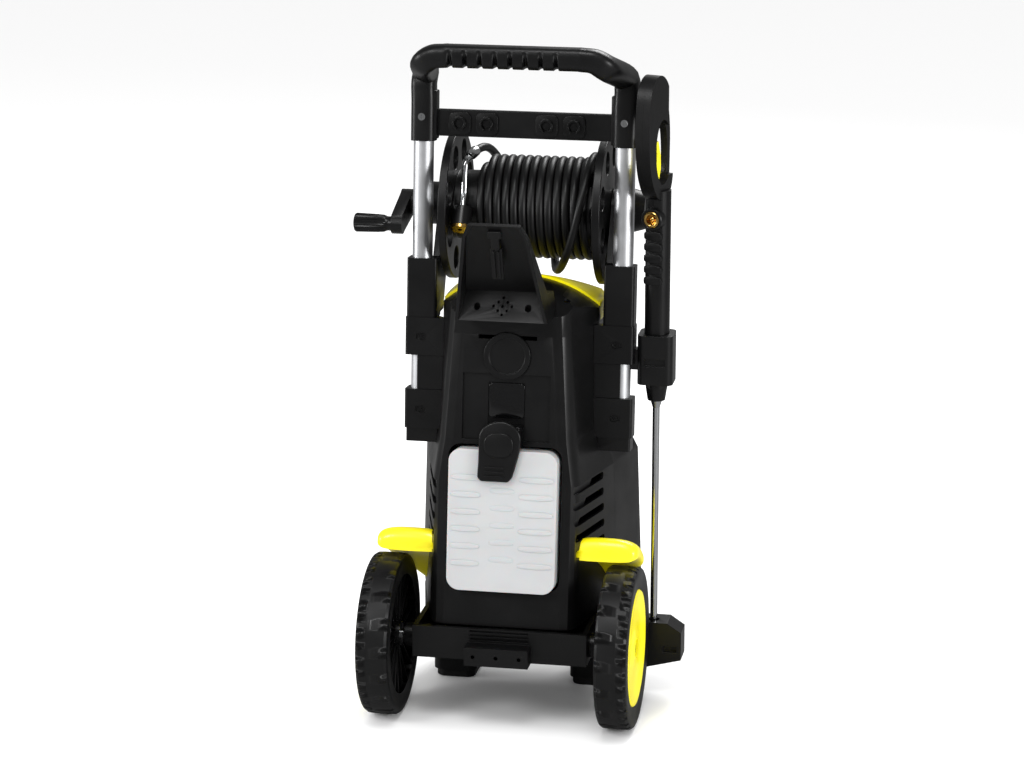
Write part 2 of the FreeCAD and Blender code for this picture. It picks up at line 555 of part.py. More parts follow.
def cord_hook():
    """Leaning scoop on the rear: the mains cord winds behind it, and its floor drains."""
    tip = ("hook_top_y", "hook_top_z")
    side = slab("hook_side", "X", [
        ("hook_low_y", "hook_low_z"), tip, ("hook_top_y + 6", "hook_top_z + 2"),
        ("hook_shelf_y + hook_wall", "hook_shelf_z"), ("hook_shelf_y + 40", "hook_shelf_z - 5"),
        ("hook_shelf_y + 40", "hook_low_z - 6")], ("-hook_low_half", "hook_low_half"))

    def front(name, inset, near, far):
        plan = [("hook_low_half - {0}", "hook_low_z - 40"), ("hook_low_half - {0}", "hook_low_z"),
                ("hook_top_half + 3 - {0}", "hook_top_z - 16"), ("hook_top_half - 6 - {0}",
                                                                 "hook_top_z + 4 - {0}")]
        right = [(u.format(inset), v.format(inset)) for u, v in plan]
        return slab(name, "Y", right + [(f"-({u})", v) for u, v in reversed(right)], (near, far))

    solid = common("hook_solid", side, front("hook_front", 0, "hook_top_y - 5", "hook_shelf_y + 60"))
    scoop = slab("hook_scoop", "X", [
        ("hook_low_y - 12", "hook_low_z"), ("hook_low_y", "hook_low_z"),
        ("hook_shelf_y - 1", "hook_shelf_z + 2"), ("hook_top_y + 1", "hook_top_z"),
        ("hook_top_y - 12", "hook_top_z")], ("-hook_low_half", "hook_low_half"))
    scoop = common("hook_void", scoop, front("hook_inner", 4, "hook_top_y - 20", "hook_shelf_y + 60"))
    tools = [scoop, roof, common("hook_rear", outer, box("hook_rear_box", WIDE, ("base_rear_y",
                                                                                 "base_wide_y"),
                                                         ("base_level", "cover_low + 1")))]
    middle = "(hook_low_z + hook_shelf_z) / 2"
    for column in range(-2, 3):
        for row in range(-2, 3):
            if abs(column) + abs(row) in (0, 2):
                up = f"{middle} + {row * 4.4} + 1"
                deep = f"hook_low_y + ({up} - hook_low_z) * (hook_shelf_y - hook_low_y) / (hook_shelf_z - hook_low_z)"
                tools.append(rod(f"drain_{column}_{row}", "Y", "1.6", (f"{deep} - 4", f"{deep} + 9"),
                                 (f"{column * 5.5}", up)))
    deep = "(hook_low_y + hook_shelf_y) / 2"
    tools += [rod(f"hook_screw_{side}", "Y", "4", (f"{deep} - 8", f"{deep} + 9"), (f"{side * 31}", middle))
              for side in (-1, 1)]
    tools += [box(f"hook_slot_{i}", (x, f"{x} + 3"), ("hook_top_y - 5", "hook_shelf_y"),
                  ("hook_top_z - 52", "hook_top_z - 20")) for i, x in enumerate(("-7", "1"))]
    return node("cord_hook", cut("hook_cut", solid, *tools))


# ---------------------------------------------------------------- mast
def on_mast(part):
    """Lean a part with the mast tubes; heights are then along the tubes."""
    item = group(f"{part.Name}_on_mast", part)
    item.Placement = Placement(Vector(), Rotation(AXES["X"], -value("mast_lean")))
    return put(item, "0", "mast_y", "mast_z")


def pair(label, right):
    """A right-hand part and its mirror image as two nodes."""
    node(f"{label}_right", right)
    return node(f"{label}_left", mirrored(f"{label}_flip", right))


def tube_hole(name, low, high):
    return rod(name, "Z", "tube_radius + touch_gap", (low, high), ("tube_x", "0"))


def clamp(name, low, high):
    """Saddle that holds a tube to the flank of the housing."""
    block = dressed(slab(f"{name}_block", "Z", [
        ("tube_x - 40", "-clamp_deep"), ("tube_x + clamp_out", "-clamp_deep"),
        ("tube_x + clamp_out", "clamp_deep - 4"), ("tube_x - 14", "clamp_deep - 4"),
        ("tube_x - 24", "0")], (low, high)), "Fillet", "4", along(AXES["Z"]))
    middle = f"(({low}) + ({high})) / 2"
    pit = rod(f"{name}_pit", "Y", "screw_head + touch_gap", ("-clamp_deep - 1", "-clamp_deep + 4"),
              ("tube_x - 5", middle))
    slot = box(f"{name}_slot", ("tube_x - 5", "tube_x + 3"), ("-clamp_deep - 1", "-clamp_deep + 2"),
               (f"{middle} - screw_head + 1", f"{middle} + screw_head - 1"))
    held = on_mast(cut(f"{name}_held", block, tube_hole(f"{name}_bore", f"({low}) - 1", f"({high}) + 1"),
                       pit, slot))
    return cut(f"{name}_cut", held, outer)


screws = []


def mast():
    """Tubes, end plugs, clamps, filler plates, sleeves and the screws of the clamps."""
    tube = cut("tube_wall_cut", rod("tube_skin", "Z", "tube_radius", ("plug_floor", "tube_top"), ("tube_x",
                                                                                                  "0")),
               rod("tube_void", "Z", "tube_radius - tube_wall", ("plug_floor - 1", "tube_top + 1"),
                   ("tube_x", "0")))
    pair("mast_tube", on_mast(tube))
    plug = dressed(slab("plug_block", "Z", [
        ("tube_x - 27", "-clamp_deep + 2"), ("tube_x + clamp_out - 2", "-clamp_deep + 2"),
        ("tube_x + clamp_out - 2", "clamp_deep - 4"), ("tube_x - 14", "clamp_deep - 4"), ("tube_x - 24",
                                                                                          "0")],
        ("0", "plug_top")), "Fillet", "3", along(AXES["Z"]))
    plug = cut("plug_cut", on_mast(cut("plug_held", plug, tube_hole("plug_bore", "plug_floor",
                                                                    "plug_top + 1"))),
               outer)
    node("tube_plugs", group("plug_group", plug, mirrored("plug_flip", plug)))
    pair("lower_clamp", clamp("lower_clamp", "plug_top", "low_clamp_top"))
    upper = clamp("upper_clamp", "high_clamp_foot", "high_clamp_top")
    pair("upper_clamp", upper)
    plate = on_mast(box("filler_box", ("tube_x - 36", "tube_x + 2"),
                        ("-clamp_deep + 1", "-tube_radius - touch_gap"), ("low_clamp_top",
                                                                          "high_clamp_foot")))
    plate = cut("filler_cut", plate, outer)
    node("filler_plates", group("filler_group", plate, mirrored("filler_flip", plate)))
    sleeve = dressed(slab("sleeve_block", "Z", [
        ("sleeve_in", "-sleeve_deep"), ("tube_x + clamp_out - 1", "-sleeve_deep"),
        ("tube_x + clamp_out - 1", "sleeve_deep - 2"), ("sleeve_in", "sleeve_deep - 2")],
        ("high_clamp_top", "sleeve_top")), "Fillet", "4", along(AXES["Z"]))
    sleeve = on_mast(cut("sleeve_held", sleeve, tube_hole("sleeve_bore", "high_clamp_top - 1",
                                                          "sleeve_top + 1")))
    pair("tube_sleeve", sleeve)
    for low, high in (("plug_top", "low_clamp_top"), ("high_clamp_foot", "high_clamp_top")):
        middle = f"(({low}) + ({high})) / 2"
        head = rod(f"clamp_screw_{low}", "Y", "screw_head", ("-clamp_deep + 1.5", "-clamp_deep + 4"),
                   ("tube_x - 5", middle))
        cross = [box(f"clamp_cross_{low}_{i}", (f"tube_x - 5 - {a}", f"tube_x - 5 + {a}"),
                     ("-clamp_deep", "-clamp_deep + 2.6"), (f"{middle} - {b}", f"{middle} + {b}"))
                 for i, (a, b) in enumerate(((2.6, 0.5), (0.5, 2.6)))]
        head = on_mast(cut(f"clamp_head_{low}", head, *cross))
        screws.extend([head, mirrored(f"clamp_screw_flip_{low}", head)])
    return sleeve, upper


def route(points):
    """Straight runs joined by tangent arcs, each as large as its two runs allow."""
    edges = []
    here = points[0]
    radii = []
    for before, corner, after in zip(points, points[1:], points[2:]):
        first = (corner - before)
        second = (after - corner)
        turn = first.getAngle(second)
        reach = 0.45 * min(first.Length, second.Length)
        radii.append(reach / math.tan(turn / 2))
        first.normalize()
        second.normalize()
        leave = corner - first * reach
        enter = corner + second * reach
        middle = corner + (second - first).normalize() * (radii[-1] / math.cos(turn / 2) - radii[-1])
        edges += [Part.LineSegment(here, leave).toShape(), Part.Arc(leave, middle, enter).toShape()]
        here = enter
    edges.append(Part.LineSegment(here, points[-1]).toShape())
    print("arc radii:", [round(r, 1) for r in radii])
    return Part.Wire(edges)


def route_tube(name, points, radius):
    """Round tube along a route, as a feature whose shape is swept here."""
    wire = route(points)
    ring = Part.Wire([Part.Circle(points[0], points[1] - points[0], radius).toShape()])
    item = doc.addObject("Part::Feature", name)
    item.Shape = wire.makePipeShell([ring], True, False)
    expected = math.pi * radius ** 2 * wire.Length
    print(f"{name}: length {wire.Length:.1f}, volume ratio {item.Shape.Volume / expected:.4f}")
    return item


def handle():
    """Arch: collars on the tubes, arms towards the operator and a grip between them."""
    lean = Rotation(AXES["X"], -value("mast_lean"))
    foot = Vector(0, value("mast_y"), value("mast_z"))
    low = foot + lean.multVec(Vector(value("tube_x"), 0, value("collar_foot + 25")))
    shoulder = foot + lean.multVec(Vector(value("shoulder_x"), 0, value("shoulder_up")))
    corner = Vector(value("grip_x"), value("grip_y"), value("grip_z"))
    right = [corner, shoulder, low]
    left = [Vector(-p.x, p.y, p.z) for p in reversed(right)]
    parts = [route_tube("arch_tube", left + right, value("grip_radius"))]
    for side in (-1, 1):
        x = f"{side} * tube_x"
        rib = box(f"collar_rib_{side}", (f"{x} - 8 - {side * 8}", f"{x} + 8 - {side * 8}"), ("-8", "10"),
                  ("collar_foot", "shoulder_up - 12"))
        lobe = rod(f"collar_rod_{side}", "Z", "collar_radius", ("collar_foot", "shoulder_up - 12"), (x, "0"))
        parts.append(on_mast(fuse(f"collar_{side}", lobe, rib)))
    arch = fuse("arch_solid", *parts)
    tools = []
    for side in (-1, 1):
        x = f"{side} * tube_x"
        tools.append(on_mast(rod(f"collar_bore_{side}", "Z", "tube_radius + touch_gap",
                                 ("collar_foot - 1", "tube_top + touch_gap"), (x, "0"))))
        tools.append(on_mast(rod(f"collar_pit_{side}", "Y", "screw_head + 1.5",
                                 ("-collar_radius - 2", "-collar_radius + 2"), (x, "collar_foot + 30"))))
    node("handle_arch", cut("arch_cut", arch, *tools))
    for side in (-1, 1):
        x = f"{side} * tube_x"
        head = rod(f"handle_head_{side}", "Y", "screw_head", ("-collar_radius", "-collar_radius + 2"),
                   (x, "collar_foot + 30"))
        cross = [box(f"handle_cross_{side}_{i}", (f"{x} - {a}", f"{x} + {a}"),
                     ("-collar_radius - 1", "-collar_radius + 1.2"),
                     (f"collar_foot + 30 - {b}", f"collar_foot + 30 + {b}"))
                 for i, (a, b) in enumerate(((2.8, 0.55), (0.55, 2.8)))]
        screws.append(on_mast(cut(f"handle_screw_{side}", head, *cross)))
    node("frame_screws", group("frame_screw_group", *screws))


def cross_bar():
    """Bar between the collars with four clips for spray nozzles on its rear face."""
    reach = "tube_x - collar_radius - touch_gap"
    bar = dressed(slab("bar_block", "Z", [(f"-({reach})", "-2"), (reach, "-2"), (reach, "bar_deep - 2"),
                                          (f"-({reach})", "bar_deep - 2")], ("bar_foot",
                                                                             "bar_foot + bar_high")),
                  "Fillet", "1.5", along(AXES["X"]))
    node("cross_bar", on_mast(bar))
    clips = []
    for i, x in enumerate((-80, -46, 28, 62)):
        at = (str(x), "bar_foot + bar_high / 2")
        plate = rod(f"clip_plate_{i}", "Y", "clip_radius", ("-4", "-2"), at)
        ring = rod(f"clip_ring_{i}", "Y", "clip_radius - 2.5", ("-11", "-3"), at)
        hole = rod(f"clip_hole_{i}", "Y", "clip_radius - 5", ("-12", "-4"), at)
        gap = box(f"clip_gap_{i}", (f"{x} - 3.5", f"{x} + 3.5"), ("-12", "-4"),
                  ("bar_foot", "bar_foot + bar_high / 2"))
        clips.append(on_mast(cut(f"clip_{i}", fuse(f"clip_solid_{i}", plate, ring), hole, gap)))
    node("nozzle_clips", group("clip_group", *clips))


# ---------------------------------------------------------------- reel, hose and crank
REEL = ("reel_y", "reel_z")


def reel_brackets(sleeve):
    """Arms from the sleeves to the two bearing bosses of the reel."""
    near = "sleeve_in + touch_gap"
    arm = slab("bracket_arm", "X", [
        ("mast_y + 22", "mast_z + 158"), ("mast_y + 44", "mast_z + 158"), ("reel_y + 8", "reel_z - 26"),
        ("reel_y + 24", "reel_z - 8"), ("reel_y + 18", "reel_z + 18"), ("reel_y - 8", "reel_z + 25"),
        ("reel_y - 24", "reel_z + 10"), ("mast_y + 22", "mast_z + 230")], (near, f"{near} + bracket_thick"))
    boss = rod("bracket_boss", "X", "reel_boss", (near, "boss_out - 14"), REEL)
    nose = taper("bracket_nose", "X", ("reel_boss", "reel_boss - 4"), ("boss_out - 14", "boss_out"), REEL)
    bore = rod("bracket_bore", "X", "reel_axle + running_gap", ("sleeve_in - 5", "boss_out + 1"), REEL)
    pair("reel_bracket", cut("bracket_cut", fuse("bracket_solid", arm, boss, nose), bore, sleeve))


def reel_drum():
    """Drum, two flanges with openings, and the axle that the crank turns."""
    out = "flange_in + flange_thick"
    half = [(out, "flange_radius"), ("flange_in", "flange_radius"), ("flange_in", "drum_radius")]
    rest = [(f"{out} + flange_bulge", "30"), (out, "56")]
    profile = [("crank_x - crank_thick", "0"), ("crank_x - crank_thick", "reel_axle"),
               (f"-({out} + flange_bulge)", "reel_axle")]
    profile += [(f"-({u})", v) for u, v in rest + half]
    profile += list(reversed(half)) + list(reversed(rest))
    profile += [(f"{out} + flange_bulge", "reel_axle"), ("boss_out - 3", "reel_axle"), ("boss_out - 3", "0")]
    drum = turned("drum_body", "X", profile, REEL)
    tools = [cut("drum_void", rod("drum_void_out", "X", "drum_radius - 5", ("-flange_in + 6",
                                                                            "flange_in - 6"), REEL),
                 rod("drum_void_in", "X", "reel_axle + 4", ("-flange_in + 6", "flange_in - 6"), REEL))]
    for i in range(8):
        turn = math.radians(22.5 + 45 * i)
        at = (f"reel_y + (flange_radius + drum_radius) / 2 * {math.cos(turn):.6f}",
              f"reel_z + (flange_radius + drum_radius) / 2 * {math.sin(turn):.6f}")
        for side in (-1, 1):
            span = (f"{side} * flange_in - 30", f"{side} * flange_in + 30")
            tools.append(rod(f"flange_hole_{i}_{side}", "X", "(flange_radius - drum_radius) * 0.3", span, at))
    node("reel_drum", cut("drum_cut", drum, *tools))


def crank():
    """Crank arm on the reel's axle, and the knob that turns on its pin."""
    start = ("reel_y", "reel_z")
    end = ("reel_y - crank_reach", "reel_z - crank_drop")
    outer_x = "crank_x - crank_thick"
    plate = slab("crank_plate", "X", [
        ("reel_y + 6", "reel_z - 15"), ("reel_y + 13", "reel_z + 8"), ("reel_y", "reel_z + 16"),
        ("reel_y - crank_reach - 6", "reel_z - crank_drop + 12"),
        ("reel_y - crank_reach - 12", "reel_z - crank_drop"),
        ("reel_y - crank_reach - 3", "reel_z - crank_drop - 12")], (outer_x, "crank_x"))
    hub = rod("crank_hub", "X", "16", (outer_x, "crank_x + 4.5"), start)
    eye = rod("crank_eye", "X", "12", (outer_x, "crank_x"), end)
    pin = rod("crank_pin", "X", "knob_pin", (f"{outer_x} - knob_length + 4", "crank_x - 2"), end)
    bore = rod("crank_bore", "X", "reel_axle", (f"{outer_x} - 1", "crank_x + 10"), start)
    node("crank_arm", fuse("crank_solid", cut("crank_cut", fuse("crank_blank", plate, hub, eye), bore), pin))
    tip = f"{outer_x} - touch_gap - knob_length"
    knob = turned("knob_body", "X", [
        (f"{outer_x} - touch_gap", "knob_pin + running_gap"), (f"{outer_x} - touch_gap", "knob_radius - 1.5"),
        (f"{outer_x} - 12", "knob_radius - 1"), (f"{tip} + 3", "knob_radius"), (tip, "knob_radius - 3"),
        (tip, "0"), (f"{outer_x} - knob_length + 3", "0"),
        (f"{outer_x} - knob_length + 3", "knob_pin + running_gap")], end)
    node("crank_knob", knob)


def around_reel(points):
    """Places round the reel's axis from (x, angle, radius); 0 degrees is the front, 90 the top."""
    y, z = value("reel_y"), value("reel_z")
    return [Vector(x, y + r * math.cos(math.radians(a)), z + r * math.sin(math.radians(a))) for x, a,
            r in points]


LOOSE = [
    (80, 118, 71.5), (77, 143, 71.5), (73, 166, 71.8), (67, 188, 73), (59, 208, 76), (50, 226, 79),
    (40, 245, 78.5), (32, 265, 75.5), (26, 288, 72), (22, 312, 71.6), (10, 334, 71.5), (-10, 354, 71.5),
    (-32, 371, 71.5), (-48, 390, 71.5), (-54, 412, 71.5), (-59, 436, 71.5), (-65, 456, 71.6),
    (-71, 473, 71.8)]
DROP = [(-51, 20), (-60, 7)]


def hose():
    """Hose: the wound layers as one ring, the loose turn with its loop, and the pipe with its fitting."""
    ring = cut("winding_cut", rod("winding_out", "X", "hose_outer", ("winding_low", "winding_high"), REEL),
               rod("winding_in", "X", "drum_radius + touch_gap", ("winding_low - 1", "winding_high + 1"),
                   REEL))
    node("hose_winding", ring)
    radius = value("hose_radius")
    tail = around_reel(LOOSE)
    node("hose_loop", route_tube("loop_tube", tail, radius))
    x, y, z = (value(name) for name in ("coupling_x", "reel_y", "reel_z"))
    leave = (tail[-1] - tail[-2]).normalize()
    bend = [tail[-1] + leave * 0.2, tail[-1] + leave * 14] + [Vector(x, y + dy, z + dz) for dy, dz in DROP]
    node("hose_stem", route_tube("stem_tube", bend, radius - 1.2))
    way = (bend[-1] - bend[-2]).normalize()
    turn = Rotation(AXES["Z"], way)

    def sleeve(name, outside, inside, length):
        skin = doc.addObject("Part::Cylinder", f"{name}_skin")
        skin.setExpression("Radius", bound(outside))
        skin.Height = length
        void = doc.addObject("Part::Cylinder", f"{name}_void")
        void.setExpression("Radius", bound(inside))
        void.Height = length
        return cut(name, skin, void)

    grip = sleeve("coupling_grip", "coupling_radius", "hose_radius - 2.5", 24)
    grip.Placement = Placement(bend[-1] + way * 0.3, turn)
    node("hose_coupling", grip)
    ring = sleeve("coupling_brass", "coupling_radius - 1", "hose_radius - 2.5", 4)
    ring.Placement = Placement(bend[-1] + way * 24.3, turn)
    node("coupling_ring", ring)


# ---------------------------------------------------------------- gun, lance and their holders
def smooth_slab(name, points, low, high):
    """Slab across X between two values, with a smooth closed outline through (y, z) points."""
    curve = Part.BSplineCurve()
    curve.interpolate([Vector(low, y, z) for y, z in points], PeriodicFlag=True)
    item = doc.addObject("Part::Feature", name)
    item.Shape = Part.Face(Part.Wire([curve.toShape()])).extrude(Vector(high - low, 0, 0))
    return item


def yawed(part):
    """Turn a piece of the gun about the gun's own upright line."""
    holder = group(f"{part.Name}_yaw", part)
    holder.Placement = Placement(Vector(), Rotation(AXES["Z"], -value("gun_yaw")),
                                 Vector(value("gun_x"), value("gun_y"), 0))
    return holder


GRIP = [(-26, 0.03), (-39, 0.18), (-46, 0.42), (-45, 0.72), (-34, 0.94), (-17, 0.985), (0, 0.93), (13, 0.76),
        (20, 0.52), (20, 0.26), (15, 0.05), (0, -0.04)]
FINGERS = [(-14, 0.11), (-24, 0.22), (-27, 0.38), (-22, 0.54), (-10, 0.62), (4, 0.58), (12, 0.44), (13, 0.28),
           (8, 0.16), (-3, 0.10)]
BLADE = [(-20, 18), (-10, 20), (-5, 34), (-6, 50), (-12, 68), (-17, 67), (-15, 50), (-17, 38), (-21, 31)]


def gun():
    """Trigger gun hanging muzzle down: two shells, trigger, inlet, and the lance with its nut."""
    x, y, half, guard = (value(name) for name in ("gun_x", "gun_y", "gun_half", "guard_half"))
    waist, top = value("gun_waist"), value("gun_top")
    tall = top - waist
    at = ("gun_x", "gun_y")
    pin_at = ("gun_y - trigger_back", "gun_waist + trigger_up")
    for label, sign in (("left", -1), ("right", 1)):
        near, far = sorted((x, x + sign * half))
        loop = smooth_slab(f"gun_loop_{label}", [(y + u, waist + v * tall) for u, v in GRIP], near, far)
        opening = smooth_slab(f"gun_window_{label}", [(y + u, waist + v * tall) for u, v in FINGERS],
                              near - 1, far + 1)
        thin = sorted((x + sign * guard, x + sign * (half + 1)))
        thinned = box(f"gun_guard_{label}", [f"{edge}" for edge in thin], ("gun_y + 6", "gun_y + 60"),
                      ("gun_waist + 24", "gun_top"))
        other = sorted((x, x - sign * 40))
        beyond = box(f"gun_other_{label}", [f"{edge}" for edge in other], ("gun_y - 60", "gun_y + 60"),
                     ("cradle_low - 5", "gun_top"))
        fore = rod(f"gun_fore_{label}", "Z", "fore_radius", ("fore_low + touch_gap", "gun_waist + 6"), at)
        neck = rod(f"gun_neck_{label}", "Z", "neck_radius", ("cradle_low", "fore_low + 1"), at)
        ribs = [box(f"gun_rib_{label}_{i}", ("gun_x - 20", "gun_x + 20"), ("gun_y - 20",
                                                                           "gun_y - fore_radius + 1"),
                    (f"gun_waist - 56 - {14 * i}", f"gun_waist - 53 - {14 * i}")) for i in range(4)]
        slot = box(f"gun_slot_{label}", ("gun_x - trigger_half - 0.5", "gun_x + trigger_half + 0.5"),
                   ("gun_y - 29", "gun_y - 4"), ("gun_waist + 15", "gun_waist + 44"))
        pin = rod(f"gun_pin_bore_{label}", "X", "3 + running_gap", ("gun_x - 7.5", "gun_x + 7.5"), pin_at)
        inlet = rod(f"gun_inlet_bore_{label}", "Y", "inlet_radius + touch_gap", ("gun_y - 60", "gun_y - 2"),
                    ("gun_x", "inlet_z"))
        pipe = rod(f"gun_pipe_bore_{label}", "Z", "lance_radius + touch_gap", ("cradle_low - 1",
                                                                               "cradle_low + 24"), at)
        shell = fuse(f"gun_blank_{label}", cut(f"gun_grip_{label}", loop, opening, thinned), fore, neck)
        shape = cut(f"gun_cut_{label}", shell, beyond, *ribs, slot, pin, inlet, pipe)
        node(f"gun_shell_{label}", yawed(shape))
    blade = [(f"gun_y + ({u})", f"gun_waist + {v}") for u, v in BLADE]
    trigger = slab("trigger_plate", "X", blade, ("gun_x - trigger_half", "gun_x + trigger_half"))
    pivot = rod("trigger_pin", "X", "3", ("gun_x - 7", "gun_x + 7"), pin_at)
    node("gun_trigger", yawed(fuse("trigger_solid", trigger, pivot)))
    node("gun_inlet", yawed(turned("inlet_body", "Y", [
        ("gun_y - inlet_proud", "5"), ("gun_y - inlet_proud", "inlet_radius - 1"),
        ("gun_y - inlet_proud + 1", "inlet_radius"), ("gun_y - 2 - touch_gap", "inlet_radius"),
        ("gun_y - 2 - touch_gap", "0"), ("gun_y - 10", "0"), ("gun_y - 10", "5")], ("gun_x", "inlet_z"))))
    node("lance_nut", turned("nut_body", "Z", [
        ("nut_low", "lance_radius + running_gap"), ("nut_low", "nut_radius - 2.5"), ("cradle_low - 7",
                                                                                     "nut_radius"),
        ("cradle_low - touch_gap",
         "nut_radius"), ("cradle_low - touch_gap", "lance_radius + running_gap")], at))
    node("lance_tube", turned("lance_body", "Z", [
        ("lance_low + tip_high", "1.6"), ("lance_low + tip_high", "lance_radius"),
        ("nut_low - 10", "lance_radius"), ("nut_low - touch_gap", "lance_radius + 3"),
        ("nut_low - touch_gap", "lance_radius"), ("cradle_low + 23", "lance_radius"), ("cradle_low + 23",
                                                                                       "1.6")], at))
    node("lance_tip", turned("tip_body", "Z", [
        ("lance_low", "1"), ("lance_low", "tip_radius - 2"), ("lance_low + 6", "tip_radius"),
        ("lance_low + tip_high", "tip_radius"), ("lance_low + tip_high", "1")], at))


def gun_holders(clamp_right, frame):
    """Cradle round the gun's neck on the upper clamp, and the foot that takes the lance's tip."""
    at = ("gun_x", "gun_y")
    block = dressed(slab("cradle_block", "Z", [
        ("gun_x - cradle_half", "gun_y - cradle_half"), ("gun_x + cradle_half", "gun_y - cradle_half"),
        ("gun_x + cradle_half", "gun_y + cradle_half"), ("gun_x - cradle_half", "gun_y + cradle_half")],
        ("cradle_low", "fore_low")), "Fillet", "9", along(AXES["Z"]))
    neck = box("cradle_neck", ("tube_x + 8", "gun_x - cradle_half + 2"), ("gun_y - 17", "gun_y - 3"),
               ("cradle_low + 18", "cradle_low + 44"))
    bore = rod("cradle_bore_hole", "Z", "cradle_bore", ("cradle_low - 1", "fore_low + 1"), at)
    slot = box("cradle_slot", ("gun_x - 13", "gun_x + 13"), ("gun_y - cradle_half - 1",
                                                             "gun_y - cradle_half + 4"),
               ("cradle_low + 24", "cradle_low + 33"))
    node("gun_cradle", cut("cradle_cut", fuse("cradle_solid", block, neck), bore, slot, clamp_right,
                           on_mast(rod("cradle_tube_gap", "Z", "tube_radius + touch_gap", ("100", "200"),
                                       ("tube_x", "0")))))
    foot = slab("foot_block", "Y", [
        ("tray_half - 8", "foot_high - 10"), ("gun_x - 16", "foot_high"), ("foot_out - 18", "foot_high"),
        ("foot_out", "foot_high - 12"), ("foot_out", "foot_low + 12"), ("gun_x - 10", "foot_low"),
        ("gun_x - 26", "foot_low + 26"), ("tray_half - 8", "tray_low + 1")], ("foot_rear", "foot_front"))
    socket = rod("foot_socket", "Z", "foot_bore", ("lance_low - touch_gap", "foot_high + 1"), at)
    slot = box("foot_slot", ("gun_x + 14", "foot_out - 6"), ("foot_rear - 1", "foot_rear + 5"),
               ("foot_low + 22", "foot_low + 30"))
    node("lance_foot", cut("foot_cut", foot, socket, slot, frame))


# ---------------------------------------------------------------- drive and controls
def drive(front):
    """Pump, motor and fan standing in the tray, and the switch behind the dial."""
    floor = "tray_low + tray_wall"
    at = ("0", "motor_y")
    pump = fuse("pump_solid", rod("pump_barrel", "Z", "pump_radius", (floor, "motor_low"), at),
                box("pump_head", ("-pump_head_half", "pump_head_half"), ("motor_y - 10", "pump_head_y"),
                    ("port_z - 40", "port_z + 26")))
    shaft_hole = rod("pump_shaft_hole", "Z", "shaft_radius + running_gap", ("motor_low - 30",
                                                                            "motor_low + 1"), at)
    node("pump", cut("pump_cut", pump, shaft_hole))
    motor = rod("motor_can", "Z", "motor_radius", ("motor_low", "motor_top"), at)
    fins = [box(f"motor_fin_{i}", ("-2", "2"), ("motor_radius - 3", "motor_radius + 3"),
                ("motor_low + 12", "motor_top - 12")) for i in range(12)]
    for i, fin in enumerate(fins):
        turn = Rotation(AXES["Z"], 30 * i)
        base = turn.multVec(Vector(-2, value("motor_radius") - 3, 0))
        fin.Placement = Placement(Vector(), turn)
        put(fin, f"{base.x}", f"motor_y + {base.y}", "motor_low + 12")
    hole = rod("motor_hole", "Z", "shaft_radius + running_gap", ("motor_low - 1", "motor_top + 1"), at)
    node("motor", cut("motor_cut", motor, hole, *fins))
    fan = fuse("fan_solid", rod("fan_shaft", "Z", "shaft_radius", ("motor_low - 29.7", "motor_top + 6"), at),
               rod("fan_disc", "Z", "fan_radius", ("motor_top + 5", "motor_top + 8"), at),
               rod("fan_hub", "Z", "14", ("motor_top + 5", "motor_top + 5 + fan_thick"), at),
               *[fan_blade(i) for i in range(9)])
    node("motor_fan", fan)
    ports = (("water_inlet", "-port_x", "port_radius + 2"), ("pressure_outlet", "port_x", "port_radius"))
    for label, x, radius in ports:
        node(label, turned(f"{label}_body", "Y", [
            ("pump_head_y", "4"), ("pump_head_y", "port_radius - 1"), ("base_front_y + 6", "port_radius - 1"),
            ("base_front_y + 6", "port_radius + 5"), ("base_front_y + 12", "port_radius + 5"),
            ("base_front_y + 12", radius), ("port_end - 1", radius), ("port_end", f"{radius} - 1"),
            ("port_end", "4")], (x, "port_z")))
    box_back = "crown_front_y - 50"
    switch = cut("switch_shape", box("switch_box_block", ("-switch_half", "switch_half"),
                                     (box_back, "base_front_y"), ("knob_z - 20", "knob_z + 20")), front)
    inside = common("switch_inside", switch, inner)
    bore = rod("switch_bore", "Y", "shaft_radius + running_gap", ("crown_front_y - 24", "base_front_y"),
               ("0", "knob_z"))
    node("switch_box", cut("switch_cut", inside, bore))
    face = value("waist_front_y + (crown_front_y - waist_front_y) * (knob_z - dial_radius - waist_level)"
                 " / (crown_level - waist_level)")
    near = f"{face} + touch_gap"
    dial = fuse("dial_solid", rod("dial_shaft", "Y", "shaft_radius", ("crown_front_y - 20", near), ("0",
                                                                                                    "knob_z")),
                rod("dial_disc", "Y", "dial_radius", (near, f"{near} + dial_thick * 0.5"), ("0", "knob_z")),
                box("dial_grip", ("-4.5", "4.5"), (near, f"{near} + dial_thick"),
                    ("knob_z - dial_radius + 1", "knob_z + dial_radius - 1")))
    node("power_dial", dial)
    node("cord_gland", turned("gland_body", "Y", [
        ("base_front_y - 14", "3.6"), ("base_front_y - 14", "gland_radius - 2 - touch_gap"),
        ("base_front_y + 3", "gland_radius - 2 - touch_gap"), ("base_front_y + 3", "gland_radius + 3"),
        ("base_front_y + 7", "gland_radius + 3"), ("base_front_y + 26", "5.4"), ("base_front_y + 26", "3.6")],
        ("gland_x", "gland_z")))


def fan_blade(i):
    turn = Rotation(AXES["Z"], 40 * i)
    blade = box(f"fan_blade_{i}", ("0", "fan_radius - 14"), ("-1", "1"), ("motor_top + 7",
                                                                          "motor_top + 5 + fan_thick"))
    base = turn.multVec(Vector(13, -1, 0))
    blade.Placement = Placement(Vector(), turn)
    return put(blade, f"{base.x}", f"motor_y + {base.y}", "motor_top + 7")


